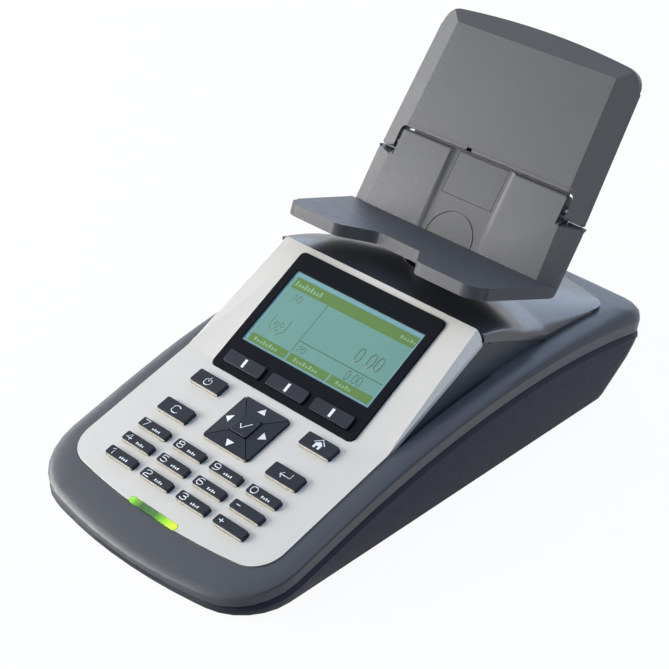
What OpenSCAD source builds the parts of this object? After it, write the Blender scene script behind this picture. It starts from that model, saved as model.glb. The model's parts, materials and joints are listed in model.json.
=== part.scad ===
// Desk-top cash counter that counts notes and coins by weight.
// X runs to the right, Y to the rear and Z up. The origin is at the bottom centre of the body.

/* [Body] */
// Width of the body across its corner line
body_w = 146; // [143:1:154]
// Length of the body
body_l = 275; // [272:1:290]
// Height of the rim at the nose
nose_h = 10.1; // [9.8:0.1:12]
// Slope of the keypad, in degrees
key_tilt = 15.64; // [15:0.1:16.4]
// Slope of the display, in degrees
display_tilt = 29.58; // [29:0.1:30.5]
// Radius of the two front corners
front_r = 30; // [26:1:32]
// Radius of the two rear corners
rear_r = 14; // [11:1:16]
// Wall thickness of the two cases
wall = 2.5; // [2.2:0.1:2.8]
// Height that the feet hold the case above the desk
foot_h = 1; // [0.8:0.1:1.4]
// Radius of a foot
foot_r = 7; // [5:0.5:8]

/* [Rim] */
// Width of the rounded rim along the sides
rim_w = 10.2; // [9.6:0.1:10.6]
// Width of the rounded rim at the front
rim_front = 18; // [17:0.5:19]
// Length of the rounded tail
rim_rear = 24; // [20:1:26]
// Height of the rim above the corner line
rim_rise = 2.6; // [2.2:0.1:3]
// Height of the strip between the corner line and the parting groove
band_h = 6.6; // [6:0.1:7]
// Depth of the parting groove
groove = 1.5; // [1.2:0.1:1.7]

/* [Fascia] */
// Thickness of the fascia plate
fascia_t = 2; // [1.8:0.1:2.4]
// Height of the fascia above the rim
fascia_proud = 0.5; // [0.3:0.1:0.8]
// Gap round the fascia, the keys and the window
gap = 0.25; // [0.2:0.05:0.3]
// Length of the fascia's keypad part
keypad_l = 82.2; // [81.8:0.1:84]
// Length of the fascia's display part
display_l = 70; // [69.5:0.1:72]
// Width of the bevel at the fascia's top corners
bevel = 3.9; // [3:0.1:4.5]

/* [Keys] */
// Height of the keys above the fascia
key_rise = 2; // [1.6:0.1:2.4]
// Travel of a key
key_travel = 0.8; // [0.6:0.1:1]
// Width of a digit key
digit_w = 18; // [16:0.5:19]
// Depth of a digit key
digit_d = 5; // [4.6:0.2:6]
// Pitch of the key columns
pitch_x = 23.4; // [22.6:0.1:24]
// Width of a function key
function_w = 18.3; // [17:0.1:19]
// Depth of a function key
function_d = 7.9; // [7:0.1:8.2]
// Width of the square of arrow keys
nav_w = 28.4; // [27:0.1:29]
// Width of the OK key
ok_w = 10.5; // [9.5:0.1:11.5]
// Width of a soft key
soft_w = 23.3; // [21:0.1:24]
// Depth of a soft key
soft_d = 6.6; // [6:0.1:6.8]

/* [Display] */
// Height of the window above the fascia
window_proud = 1; // [0.8:0.1:1.2]
// Width of the LCD panel
lcd_w = 80.4; // [78:0.2:84]
// Width of the black window beside the LCD panel
window_side = 4.6; // [4.2:0.1:5.4]
// Length of the LCD panel
lcd_l = 42.2; // [40:0.2:42.4]

/* [Saddle] */
// Thickness of the saddle cover
saddle_t = 2.2; // [2:0.1:2.4]
// Radius of the well in the saddle cover
well_r = 15; // [14:0.5:16]
// Distance from the nose to the middle of the well
well_at = 198.5; // [197.5:0.5:200]

/* [Hopper] */
// Height of the tray's crease over the saddle cover
tray_gap = 10.6; // [10.2:0.1:13]
// Width of the hopper at the crease between shelf and plate
hopper_w = 124.6; // [120:0.5:128]
// Depth of the shelf
shelf_d = 51.8; // [48:0.2:54]
// Thickness of the shelf
shelf_t = 5.8; // [5.2:0.1:6.2]
// Rise of the shelf to the front, in degrees
shelf_rise = 20.26; // [19:0.1:22]
// Lean of the plate from the vertical, in degrees
plate_lean = 36.29; // [34:0.1:38]
// Length of the lower plate to the top of its tongue
tongue_h = 41; // [40:0.2:41.4]
// Length of both plates when the flap is up
plate_h = 107.3; // [100:0.1:112]
// Depth of the plates with their rims
plate_t = 6.4; // [6:0.1:7]
// Radius of a hinge pin
pin_r = 1.75; // [1.5:0.05:2]
// Radius of the load post
post_r = 9; // [8:0.5:10]

/* [Load cell] */
// Length of the load cell's beam
cell_l = 80; // [78:1:84]
// Width and height of the load cell's beam
cell_w = 12.7; // [12:0.1:14]
// Drop of the platform at full load
platform_drop = 0.5; // [0.3:0.1:0.6]

/* [Hidden] */
$fn = 48;
eps = 0.01;

// Names of the keys: digits, then function keys, arrows and soft keys
DIGITS = [for (i = [0:9]) str("key_", i)];
ARROWS = ["key_right", "key_up", "key_left", "key_down"];
SOFT_KEYS = [for (i = [1:3]) str("softkey_", i)];
FUNCTION_KEYS = ["key_plus", "key_minus", "key_clear", "key_end", "key_power", "key_home"];
KEYS = concat(DIGITS, FUNCTION_KEYS, ["key_ok"], ARROWS, SOFT_KEYS);

// Colours
GREY = "#5d6166";
DARK = "#3a3f46";
SILVER = "#d2d3d1";
BLACK = "#1c1d20";
KEY = "#30343c";
METAL = "#b9bcc0";
BOARD = "#2f6b45";
RUBBER = "#26272a";
CREAM = "#d8d6cc";

// Levels along the normal of the fascia, counted down from its outer face
flange_t = 1;
mat_top = fascia_t + flange_t;
mat_web = 0.8;
mat_air = 1.6;
board_top = mat_top + mat_air + mat_web;
board_t = 1.6;
roof_t = board_top - fascia_proud - 0.05;
deck_t = 3;

// Ends and stations along Y
y_front = -body_l / 2;
y_rear = body_l / 2;
well_y = y_front + well_at;
rim_peak_y = well_y + 3;
crease_peak_y = well_y - 7;
slope_key = tan(key_tilt);
slope_rim = 0.186;
tail_r = 560;
stern_r = 350;
fold = display_tilt - key_tilt;

// Fascia frame: its front edge and its fold
edge_y = y_front + rim_front;
fold_y = edge_y + keypad_l * cos(key_tilt);
crease_turn = 59.5;
soften = 10;

// Height gained along Y by a line whose slope runs straight between knots of [y, slope]
function climb(y, knots, i = 0) =
    (y <= knots[i][0] || i >= len(knots) - 1) ? (y - knots[i][0]) * knots[i][1]
    : let (y1 = min(y, knots[i + 1][0]))
      (y1 - knots[i][0]) * (knots[i][1] + lookup(y1, knots)) / 2
      + (y > y1 ? climb(y, knots, i + 1) : 0);

RIM_KNOTS = [[y_front, slope_key], [fold_y - soften, slope_key], [fold_y + soften, slope_rim],
             [rim_peak_y, 0], [y_rear, -(y_rear - rim_peak_y) / tail_r]];
CREASE_KNOTS = [[y_front, slope_key], [y_front + crease_turn, slope_key],
                [crease_peak_y, 0], [y_rear, -(y_rear - crease_peak_y) / stern_r]];

// Side view of the case: top of the rim, corner line and parting line
function rim_z(y) = nose_h + climb(y, RIM_KNOTS);
function crease_z(y) = nose_h - rim_rise + climb(y, CREASE_KNOTS);
band_front = band_h - 2;
function joint_z(y) = crease_z(y) - lookup(y, [[y_front, band_front], [y_front + 40, band_h]]);
function roof_z(y) = rim_z(y) - lookup(y, [[fold_y, roof_t / cos(key_tilt)], [fold_y + 30, deck_t]]);

edge_z = rim_z(edge_y) + fascia_proud / cos(key_tilt);
fold_z = edge_z + keypad_l * sin(key_tilt);

// Points in the YZ plane, from distances up the slope and along the normal
function key_pt(v, n) = [edge_y + v * cos(key_tilt) - n * sin(key_tilt),
                         edge_z + v * sin(key_tilt) + n * cos(key_tilt)];
function display_pt(w, n) = [fold_y + w * cos(display_tilt) - n * sin(display_tilt),
                             fold_z + w * sin(display_tilt) + n * cos(display_tilt)];
function fold_pt(n) = display_pt(n * tan(fold / 2), n);

module on_keys() {
    translate([0, edge_y, edge_z]) rotate([key_tilt, 0, 0]) children();
}

module on_display() {
    translate([0, fold_y, fold_z]) rotate([display_tilt, 0, 0]) children();
}

// Slab of a flat outline between two levels
module slab(low, high) {
    translate([0, 0, low]) linear_extrude(high - low) children();
}

module block(x0, x1, y0, y1, z0, z1) {
    translate([x0, y0, z0]) cube([x1 - x0, y1 - y0, z1 - z0]);
}

// Rectangle with round corners, about the origin
module rounded(w, d, r) {
    square([w - 2 * r, d], center = true);
    square([w, d - 2 * r], center = true);
    for (x = [-1, 1], y = [-1, 1])
        translate([x * (w / 2 - r), y * (d / 2 - r)]) circle(r);
}

// Outline in the YZ plane, extended along X
module side(points, w) {
    rotate([90, 0, 90]) linear_extrude(w, center = true) polygon(points);
}

module both_sides() {
    children();
    mirror([1, 0, 0]) children();
}

// Rod along X between two places
module rod_x(x0, x1, r) {
    translate([x0, 0, 0]) rotate([0, 90, 0]) cylinder(h = x1 - x0, r = r);
}

// Solid through closed loops with equal numbers of points, right half first, each cap in strips
module loft(loops) {
    n = len(loops[0]);
    last = (len(loops) - 1) * n;
    polyhedron(
        points = [for (l = loops) each l],
        faces = concat(
            [for (i = [0:len(loops) - 2], j = [0:n - 1])
                let (a = i * n + j, b = i * n + (j + 1) % n) each [[a, a + n, b + n], [a, b + n, b]]],
            [for (i = [0:n / 2 - 2]) each [[i, i + 1, n - 2 - i], [i, n - 2 - i, n - 1 - i]]],
            [for (i = [0:n / 2 - 2])
                each [[last + n - 2 - i, last + i + 1, last + i],
                      [last + n - 1 - i, last + n - 2 - i, last + i]]]));
}

function mirrored_2d(half) = concat(half, [for (i = [len(half) - 1:-1:0]) [-half[i].x, half[i].y]]);
function mirrored(half) = concat(half, [for (i = [len(half) - 1:-1:0]) [-half[i].x, half[i].y, half[i].z]]);

/* ---- case outlines ---- */

bow_r = 260;
stern_bow = 1500;
bow_n = 4;
front_n = 7;
side_n = 20;
rear_n = 5;
corner_min = 4;

// Right half of the case's plan, set in from its widest line at the side, the front and the rear
function plan(in_side, in_front, in_rear) =
    let (hw = body_w / 2 - in_side,
         rf = max(corner_min, front_r - in_side),
         rr = max(corner_min, rear_r - in_side),
         yf = y_front + in_front,
         yr = y_rear - in_rear - (hw - rr) ^ 2 / 2 / stern_bow,
         turn = asin((hw - rf) / (bow_r - rf)),
         cy = yf + bow_r - (bow_r - rf) * cos(turn))
    concat(
        [for (i = [0:bow_n - 1]) let (a = turn * (i + 0.5) / bow_n)
            [bow_r * sin(a), yf + bow_r * (1 - cos(a))]],
        [for (i = [0:front_n - 1]) let (a = turn + (90 - turn) * i / (front_n - 1))
            [hw - rf + rf * sin(a), cy - rf * cos(a)]],
        [for (i = [1:side_n]) [hw, cy + (yr - rr - cy) * i / (side_n + 1)]],
        [for (i = [0:rear_n - 1]) let (a = 90 * i / (rear_n - 1))
            [hw - rr + rr * cos(a), yr - rr + rr * sin(a)]],
        [for (i = [1:2]) let (x = (hw - rr) * (1 - i / 2.5))
            [x, yr + ((hw - rr) ^ 2 - x * x) / 2 / stern_bow]]);

// Closed loop over the plan whose height follows a function of Y
function drape(in_side, in_front, in_rear, height) =
    mirrored([for (p = plan(in_side, in_front, in_rear)) [p.x, p.y, height(p.y)]]);

// Rounded rim between the corner line and the deck
rim_power = 0.87;
rim_steps = 5;
function rim_loop(i) =
    let (a = 90 * i / rim_steps, in = 1 - cos(a) ^ rim_power, up = sin(a) ^ rim_power)
    drape(rim_w * in, rim_front * in, rim_rear * in,
          function(y) crease_z(y) + (rim_z(y) - crease_z(y)) * up);

groove_in = groove / 2;
function joint_loop(extra) =
    drape(groove + extra, groove + extra, groove + extra, function(y) joint_z(y));

module upper_outside() {
    loft(concat(
        [joint_loop(0),
         drape(groove_in, groove_in, groove_in, function(y) joint_z(y) + groove_in)],
        [for (i = [0:rim_steps]) rim_loop(i)]));
}

module upper_inside() {
    skin = groove + wall;
    loft([drape(skin, skin + 2, skin, function(y) joint_z(y) - 1),
          drape(skin, skin + 2, skin, function(y) joint_z(y) + 1),
          drape(skin + 1, rim_front - 5, skin + 5, function(y) roof_z(y))]);
}

// Lower case: raked stern, upright sides, and a lip below the parting groove
floor_z = foot_h + wall;
lip_h = 3.5;
lip_in = 0.8;
// Rows of the lower case: share of the height below the lip, then insets at side, front and rear
LOWER_ROWS = [[0, 3, 1.2, 23.5], [0.25, 2.2, 1, 16.5], [0.6, 1.4, 0.9, 7], [0.88, 1, 0.8, 2],
              [1, lip_in, 0.8, lip_in]];
function lip_z(y) = max(joint_z(y) - lip_h, foot_h + 0.6 * (joint_z(y) - foot_h));

module lower_outside() {
    loft(concat(
        [for (row = LOWER_ROWS)
            drape(row[1], row[2], row[3], function(y) foot_h + row[0] * (lip_z(y) - foot_h))],
        [drape(lip_in / 4, lip_in / 4, lip_in / 4,
               function(y) lip_z(y) + 0.2 * (joint_z(y) - lip_z(y))),
         drape(groove_in, groove_in, groove_in, function(y) max(joint_z(y) - groove_in,
               lip_z(y) + 0.4 * (joint_z(y) - lip_z(y)))),
         joint_loop(0)]));
}

module lower_inside() {
    skin = groove + wall;
    loft([drape(skin + 2.5, 32, 24.5, function(y) floor_z),
          drape(skin, 26, skin + 8, function(y) floor_z + 0.6 * (joint_z(y) + 1 - floor_z)),
          drape(skin, 24, skin, function(y) joint_z(y) + 1)]);
}

/* ---- places shared by several pieces ---- */

// Distances up the keypad: rows of digits, then function keys, arrows and power keys
row_1 = 0.1825 * keypad_l;
pitch_y = 0.1217 * keypad_l;
function_v = 0.5888 * keypad_l;
nav_v = 0.7153 * keypad_l;
power_v = 0.8431 * keypad_l;
keypad_hw = pitch_x * 1.5 + function_w / 2 + 2.5;
keypad_v0 = row_1 - digit_d / 2 - 4;
keypad_v1 = keypad_l - 5;
fascia_hw = body_w / 2 - rim_w + 0.4;
console_hw = fascia_hw - 0.8;
window_w = lcd_w + 2 * window_side;
window_w0 = -3.1;
window_w1 = window_w0 + 69.5;
window_r = 2.8;
window_ledge = 2.3;
soft_at = 4;
soft_pitch = 27.8;
lcd_w0 = 14.3;
case_screw_x = body_w / 2 - 16;
CASE_SCREWS = [for (x = [-1, 1], y = [y_front + 47, y_front + 142, y_rear - 33]) [x * case_screw_x, y]];
boss_r = 3.6;
screw_r = 1.5;
head_r = 2.8;
head_h = 1.6;

// Key places: [x, slope distance, width, depth]
function column(c) = (c - 1.5) * pitch_x;
function digit_place(d) =
    d == 0 ? [column(3), row_1 + 2 * pitch_y]
    : [column((d - 1) % 3), row_1 + floor((d - 1) / 3) * pitch_y];
function key_place(name) =
    name == "key_plus" ? [column(3), row_1, digit_w, digit_d]
    : name == "key_minus" ? [column(3), row_1 + pitch_y, digit_w, digit_d]
    : name == "key_clear" ? [column(0), function_v, function_w, function_d]
    : name == "key_end" ? [column(3), function_v, function_w, function_d]
    : name == "key_power" ? [column(0), power_v, function_w, function_d]
    : name == "key_home" ? [column(3), power_v, function_w, function_d]
    : let (p = digit_place(search([name], DIGITS)[0])) [p.x, p.y, digit_w, digit_d];
PLAIN_KEYS = concat(DIGITS, FUNCTION_KEYS);
key_corner = 1;
flange_w = 0.8;

// Front edge of the fascia, and of anything that follows it at a distance
fascia_bow = 340;
fascia_corner = 15;
fascia_top_r = 5;

module fascia_plan(grow) {
    hw = fascia_hw + grow;
    r = fascia_corner + grow;
    bow = fascia_bow + grow;
    turn = asin((hw - r) / (bow - r));
    cy = -grow + bow - (bow - r) * cos(turn);
    right = concat(
        [for (i = [0:5]) let (a = turn * i / 5) [bow * sin(a), -grow + bow * (1 - cos(a))]],
        [for (i = [1:10]) let (a = turn + (90 - turn) * i / 10) [hw - r + r * sin(a), cy - r * cos(a)]],
        [[hw, keypad_l + 5]]);
    polygon(concat(right, [for (i = [len(right) - 1:-1:1]) [-right[i].x, right[i].y]]));
}

// Block under the bevelled display part of the fascia, lowered, widened or run out past its edges
module display_block(drop, grow, reach = 0) {
    function section(w) =
        let (b = bevel * max(w, 2) / display_l, hw = fascia_hw + grow)
        mirrored([[hw - b, drop, w], [hw + reach, b + drop + reach, w], [hw + reach, 26 + reach, w]]);
    on_display() rotate([-90, 0, 0]) loft([section(-2 - reach), section(display_l + grow + reach)]);
}

/* ---- upper case ---- */

led_w = 30;
led_d = 3.2;
well_floor = rim_z(rim_peak_y);
saddle_y0 = display_pt(display_l, 0)[0] + 0.4;
saddle_y1 = y_rear - 16.5;
saddle_foot = well_y + 5;
saddle_z0 = display_pt(display_l, -bevel)[1];
saddle_top = display_pt(display_l, 0)[1];

// Side edge and ridge line of the saddle cover
function saddle_edge(y) =
    rim_z(y) + saddle_t + (y >= saddle_foot ? 0
    : (saddle_z0 - rim_z(saddle_y0) - saddle_t) * (saddle_foot - y) / (saddle_foot - saddle_y0));
ridge_slope = -0.1;
function saddle_ridge(y) =
    let (l = saddle_y1 - saddle_y0, d = y - saddle_y0, fall = saddle_edge(saddle_y1) - saddle_top)
    saddle_top + ridge_slope * d + (fall - ridge_slope * l) * (d / l) ^ 2;

function steps(a, b, n) = [for (i = [0:n]) a + (b - a) * i / n];

module console() {
    cut_z = saddle_top + 20;
    difference() {
        side(concat(
            [key_pt(keypad_l - 8, -fascia_t - 2), key_pt(keypad_l - 8, -fascia_t), fold_pt(-fascia_t),
             display_pt(display_l - 0.3, -fascia_t)],
            [for (y = steps(saddle_y0, saddle_foot, 6)) [y, saddle_edge(y) - saddle_t]],
            [[saddle_foot, rim_z(saddle_foot) - deck_t + 0.5], [fold_y, rim_z(fold_y) - deck_t]]),
            2 * console_hw);
        // hollow under the display, open to the saddle cover
        side([display_pt(-1, -board_top), display_pt(display_l - 3, -board_top),
              [saddle_y0 + wall, cut_z], [saddle_foot + 5, cut_z],
              [saddle_foot + 5, rim_z(saddle_foot) + eps], [fold_y + 6, rim_z(fold_y + 6) - 20]],
            2 * (console_hw - wall));
        difference() {
            on_display() block(-body_w, body_w, 0, display_l + 1, -2 * bevel - fascia_t, 10);
            display_block(fascia_t, 0);
        }
    }
}

module case_boss(p) {
    translate([p.x, p.y, 0]) cylinder(h = 100, r = boss_r);
}

module upper_case() {
    color(GREY) difference() {
        union() {
            difference() {
                union() {
                    difference() {
                        upper_outside();
                        upper_inside();
                    }
                    intersection() {
                        upper_outside();
                        for (p = CASE_SCREWS) case_boss(p);
                    }
                }
                on_keys() difference() {
                    slab(-fascia_t, 20) fascia_plan(gap);
                    block(-body_w, body_w, keypad_l - fascia_t * tan(fold / 2), 200, -20, 30);
                }
                display_block(-10, gap);
                difference() {
                    display_block(-10, gap);
                    display_block(2 * bevel, gap);
                }
                on_display() block(-fascia_hw - gap, fascia_hw + gap, 0, display_l,
                                   -bevel - fascia_t - gap, 30);
            }
            console();
        }
        // seat of the window's lower edge, and openings under the keys and the window
        on_display() block(-window_w / 2 - gap, window_w / 2 + gap, window_w0 - gap, 2, -fascia_t, 5);
        on_keys() translate([0, (keypad_v0 + keypad_v1) / 2]) slab(-30, 5)
            rounded(2 * keypad_hw, keypad_v1 - keypad_v0, 6);
        on_display() block(-window_w / 2 + window_ledge, window_w / 2 - window_ledge,
                           window_w0 + window_ledge, window_w1 - window_ledge, -board_top - 6, 5);
        on_keys() block(-led_w / 2 + 1, led_w / 2 - 1, 0.6, led_d, -12, 5);
        // room for the display and the cables through the deck
        side([display_pt(4, -board_top), display_pt(40, -board_top),
              [saddle_y0 + wall, rim_z(saddle_y0) + deck_t], [saddle_y0 + wall, 0],
              [display_pt(4, -board_top)[0], 0]], 2 * (console_hw - wall - 8));
        // well of the load post
        translate([0, well_y, 0]) cylinder(h = 100, r = well_r);
        for (p = CASE_SCREWS)
            translate([p.x, p.y, 0]) cylinder(h = joint_z(p.y) + 8, r = screw_r);
        on_keys() for (p = KEYPAD_SCREWS) translate([p.x, p.y, -board_top - 1])
            cylinder(h = board_bite + 1.3, r = screw_r);
        on_display() for (p = DISPLAY_SCREWS) translate([p.x, p.y, -board_top - 1])
            cylinder(h = board_bite + 1.3, r = screw_r);
    }
}

/* ---- lower case ---- */

foot_x = body_w / 2 - 19;
FEET = [for (x = [-foot_x, foot_x], y = [y_front + 32, y_rear - 44]) [x, y]];
foot_sink = 1.2;
battery_x = 31;
battery_y = well_y - 30;
battery_d = 30;
battery_w = 58;
battery_h = 14;
cover_w = battery_d + 6;
cover_d = battery_w + 12;
cover_t = 1.3;
cover_ledge = 2.5;
port_y = y_rear - 23;
port_x0 = -52;
port_x1 = -8;
port_z1 = floor_z + 14;
inlet_x = -40;
jack_w = 9;
jack_h = 11;
jack_l = 13;
socket_x = -19;
socket_w = 13;
socket_h = 12;
socket_l = 14;
port_wall = 2;
cell_top = 24;
cell_y1 = well_y + 10;
cell_y0 = cell_y1 - cell_l;
cell_bottom = cell_top - cell_w;
spacer_t = 3;
cell_mount_l = 22;
pad_h = cell_bottom - spacer_t;
board_z = floor_z + 4;
MAIN_BOARD = [-44, 44, y_front + 50, y_front + 112];
standoff_r = 3;
MAIN_SCREWS = [for (x = [MAIN_BOARD[0] + 4, MAIN_BOARD[1] - 4], y = [MAIN_BOARD[2] + 4, MAIN_BOARD[3] - 4])
    [x, y]];

module lower_case() {
    color(DARK) difference() {
        union() {
            difference() {
                lower_outside();
                lower_inside();
            }
            intersection() {
                lower_outside();
                union() {
                    for (p = CASE_SCREWS) case_boss(p);
                    // walls of the connector recess
                    block(port_x0 - port_wall, port_x1 + port_wall, port_y - port_wall, y_rear,
                          foot_h, port_z1 + port_wall);
                }
            }
            // pad and overload stop of the load cell
            translate([0, cell_y0 + cell_mount_l / 2, floor_z - 1])
                slab(0, pad_h - floor_z + 1) rounded(cell_w + 8, cell_mount_l, 3);
            translate([0, cell_y1 - 2.6, floor_z - 1])
                cylinder(h = cell_bottom - 1.4 * platform_drop - floor_z + 1, r = 2.5);
            for (p = MAIN_SCREWS)
                translate([p.x, p.y, floor_z - 1]) cylinder(h = board_z - floor_z + 1, r = standoff_r);
            // ribs that hold the battery pack
            for (y = [-1, 1])
                translate([battery_x, battery_y + y * (cover_d / 2 - cover_ledge + 1.4), floor_z - 1])
                    slab(0, 9) square([battery_d, 2], center = true);
        }
        // connector recess in the stern
        block(port_x0, port_x1, port_y, y_rear + 5, floor_z + 1, port_z1);
        translate([inlet_x, port_y, floor_z + 2 + jack_h / 2]) rotate([90, 0, 0])
            cylinder(h = 3 * port_wall, r = 4, center = true);
        block(socket_x - socket_w / 2 + 1, socket_x + socket_w / 2 - 1, port_y - 2 * port_wall,
              port_y + 1, floor_z + 3, floor_z + 1 + socket_h);
        // battery opening with its ledge
        translate([battery_x, battery_y, 0]) {
            slab(0, foot_h + cover_t) rounded(cover_w + 2 * gap, cover_d + 2 * gap, 3);
            slab(0, floor_z + 1) rounded(cover_w - 2 * cover_ledge, cover_d - 2 * cover_ledge, 2);
        }
        for (p = FEET)
            translate([p.x, p.y, 0]) cylinder(h = foot_h + foot_sink, r = foot_r + 0.2);
        for (p = CASE_SCREWS)
            translate([p.x, p.y, 0]) {
                cylinder(h = 60, r = screw_r + 0.2);
                cylinder(h = floor_z + head_h, r = head_r + 0.4);
            }
        for (y = [6, cell_mount_l - 6])
            translate([0, cell_y0 + y, 0]) {
                cylinder(h = 60, r = screw_r + 0.2);
                cylinder(h = floor_z + head_h, r = head_r + 0.4);
            }
        for (p = MAIN_SCREWS)
            translate([p.x, p.y, floor_z]) cylinder(h = 10, r = 1);
    }
}

module feet() {
    color(RUBBER) for (p = FEET)
        translate([p.x, p.y, 0]) cylinder(h = foot_h + foot_sink, r = foot_r);
}

// Screw that points up, its head below
module screw_up(r, l) {
    cylinder(h = l, r = r);
    difference() {
        cylinder(h = head_h, r = head_r);
        cylinder(h = 1, r = 1.2, $fn = 6);
    }
}

module case_screws() {
    color(METAL) for (p = CASE_SCREWS)
        translate([p.x, p.y, floor_z]) screw_up(screw_r, joint_z(p.y) + 6 - floor_z);
}

/* ---- fascia, window and light pipe ---- */

module key_openings(grow) {
    for (name = PLAIN_KEYS) let (k = key_place(name))
        translate([k[0], k[1]]) rounded(k[2] + 2 * grow, k[3] + 2 * grow, key_corner + grow);
    translate([0, nav_v]) rounded(nav_w + 2 * grow, nav_w + 2 * grow, 2 + grow);
}

module light_pipe_plan(grow) {
    translate([0, led_d / 2]) rounded(led_w + 2 * grow, led_d + 2 * grow, led_d / 2 + grow - eps);
}

module fascia() {
    color(SILVER) difference() {
        union() {
            intersection() {
                side([key_pt(-2, 0), fold_pt(0), display_pt(4, 0), display_pt(4, -fascia_t),
                      fold_pt(-fascia_t), key_pt(-2, -fascia_t)], 2 * fascia_hw);
                on_keys() slab(-10, 10) fascia_plan(0);
            }
            intersection() {
                difference() {
                    display_block(0, 0);
                    display_block(fascia_t, 0, 1);
                }
                on_display() slab(-12, 4) {
                    translate([0, display_l / 2]) rounded(2 * fascia_hw, display_l, fascia_top_r);
                    translate([0, display_l / 4]) square([2 * fascia_hw, display_l / 2], center = true);
                }
            }
        }
        on_keys() slab(-10, 10) {
            key_openings(gap);
            light_pipe_plan(gap);
        }
        on_display() translate([0, (window_w0 + window_w1) / 2]) slab(-4, 10)
            rounded(window_w + 2 * gap, window_w1 - window_w0 + 2 * gap, window_r);
        block(-body_w, body_w, saddle_y0 - gap, saddle_y0 + 20, 0, 120);
    }
}

module soft_openings(grow) {
    for (i = [-1:1])
        translate([i * soft_pitch, soft_at]) rounded(soft_w + 2 * grow, soft_d + 2 * grow, key_corner);
}

lcd_sink = 0.8;

module display_window() {
    color(BLACK) on_display() difference() {
        translate([0, (window_w0 + window_w1) / 2]) slab(-fascia_t, window_proud)
            rounded(window_w, window_w1 - window_w0, window_r);
        slab(-10, 10) soft_openings(gap);
        translate([0, lcd_w0 + lcd_l / 2]) slab(-10, 10) square([lcd_w + 0.1, lcd_l + 0.1], center = true);
    }
}

module lcd_panel() {
    color("#7fb3a6") on_display() translate([0, lcd_w0 + lcd_l / 2])
        slab(-fascia_t, window_proud - lcd_sink) square([lcd_w, lcd_l], center = true);
}

module lcd_frame() {
    color(METAL) on_display() translate([0, lcd_w0 + lcd_l / 2])
        slab(-board_top, -fascia_t) square([lcd_w + 2, lcd_l + 4], center = true);
}

display_board_w0 = window_w0 + 2;
display_board_w1 = display_l - 4;
display_board_hw = window_w / 2 + 4;
DISPLAY_SCREWS = [for (x = [-1, 1], w = [12, display_board_w1 - 8])
    [x * (display_board_hw - 3), w]];
KEYPAD_SCREWS = [for (x = [-1, 1], v = [keypad_v0 + 4, keypad_v1 - 8]) [x * (keypad_hw + 2.6), v]];
board_edge = 5.5;
board_v0 = 0.4;
board_v1 = keypad_v1 - 3;
board_bite = 2.5;

module display_board() {
    color(BOARD) on_display() difference() {
        translate([0, (display_board_w0 + display_board_w1) / 2]) slab(-board_top - board_t, -board_top)
            rounded(2 * display_board_hw, display_board_w1 - display_board_w0, 2);
        for (p = DISPLAY_SCREWS) translate([p.x, p.y]) slab(-20, 0) circle(screw_r);
    }
}

// Screw whose head sits under a board and whose shank goes up into the roof
module board_screw(l) {
    translate([0, 0, -board_top - board_t - head_h]) cylinder(h = head_h, r = head_r - 0.4);
    translate([0, 0, -board_top - board_t]) cylinder(h = board_t + l, r = screw_r);
}

module display_screws() {
    color(METAL) on_display() for (p = DISPLAY_SCREWS) translate([p.x, p.y]) board_screw(board_bite);
}

module keypad_board() {
    color(BOARD) on_keys() difference() {
        translate([0, (board_v0 + board_v1) / 2]) slab(-board_top - board_t, -board_top)
            rounded(2 * (keypad_hw + board_edge), board_v1 - board_v0, 4);
        for (p = KEYPAD_SCREWS) translate([p.x, p.y]) slab(-20, 0) circle(screw_r);
    }
}

module keypad_screws() {
    color(METAL) on_keys() for (p = KEYPAD_SCREWS) translate([p.x, p.y]) board_screw(board_bite);
}

led_h = 1;
module status_leds() {
    color("#e8f5d0") on_keys() for (x = [-10, 0, 10])
        translate([x, led_d / 2 + 0.4]) slab(-board_top, -board_top + led_h) square([3.2, 2], center = true);
}

module light_pipe() {
    color("#a8d83c") on_keys() {
        slab(-fascia_t, 0.2) light_pipe_plan(0);
        block(-led_w / 2 + 1.2, led_w / 2 - 1.2, 0.8, led_d - 0.2, -board_top + led_h, -fascia_t + eps);
    }
}

/* ---- keys ---- */

dome_r = 2.2;

module key_mat() {
    color(CREAM) on_keys() {
        translate([0, (keypad_v0 + keypad_v1) / 2]) slab(-board_top, -board_top + mat_web)
            rounded(2 * keypad_hw - 1, keypad_v1 - keypad_v0 - 1, 5);
        slab(-board_top + mat_web - eps, -mat_top) {
            for (name = PLAIN_KEYS) let (k = key_place(name))
                translate([k[0], k[1]]) circle(dome_r);
            translate([0, nav_v]) circle(dome_r);
            for (a = [0:90:270]) translate([0, nav_v]) rotate(a)
                translate([(nav_w + ok_w) / 4, 0]) circle(dome_r);
        }
    }
}

module softkey_mat() {
    color(CREAM) on_display() {
        translate([0, soft_at]) slab(-board_top, -board_top + mat_web)
            square([2 * soft_pitch + soft_w, soft_d + 1], center = true);
        slab(-board_top + mat_web - eps, -mat_top)
            for (i = [-1:1]) translate([i * soft_pitch, soft_at]) circle(dome_r);
    }
}

// Key with a pillowed top, and a flange that rests under the fascia
pillow_r = 14;

module key_shape(w, d, rise) {
    intersection() {
        slab(-mat_top, rise) rounded(w, d, key_corner);
        translate([0, 0, rise - pillow_r - d * d / 8 / pillow_r + d / 10])
            rotate([0, 90, 0]) cylinder(h = 2 * w, r = pillow_r + d * d / 8 / pillow_r, center = true, $fn = 96);
    }
    slab(-mat_top, -fascia_t) rounded(w + 2 * flange_w, d + 2 * flange_w, key_corner);
}

module plain_key(name) {
    k = key_place(name);
    color(KEY) on_keys() translate([k[0], k[1]]) key_shape(k[2], k[3], key_rise);
}

nav_gap = 0.35;
nav_slope = 5;
ok_rise = key_rise + 0.8;
ok_foot = 0.8;

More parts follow.
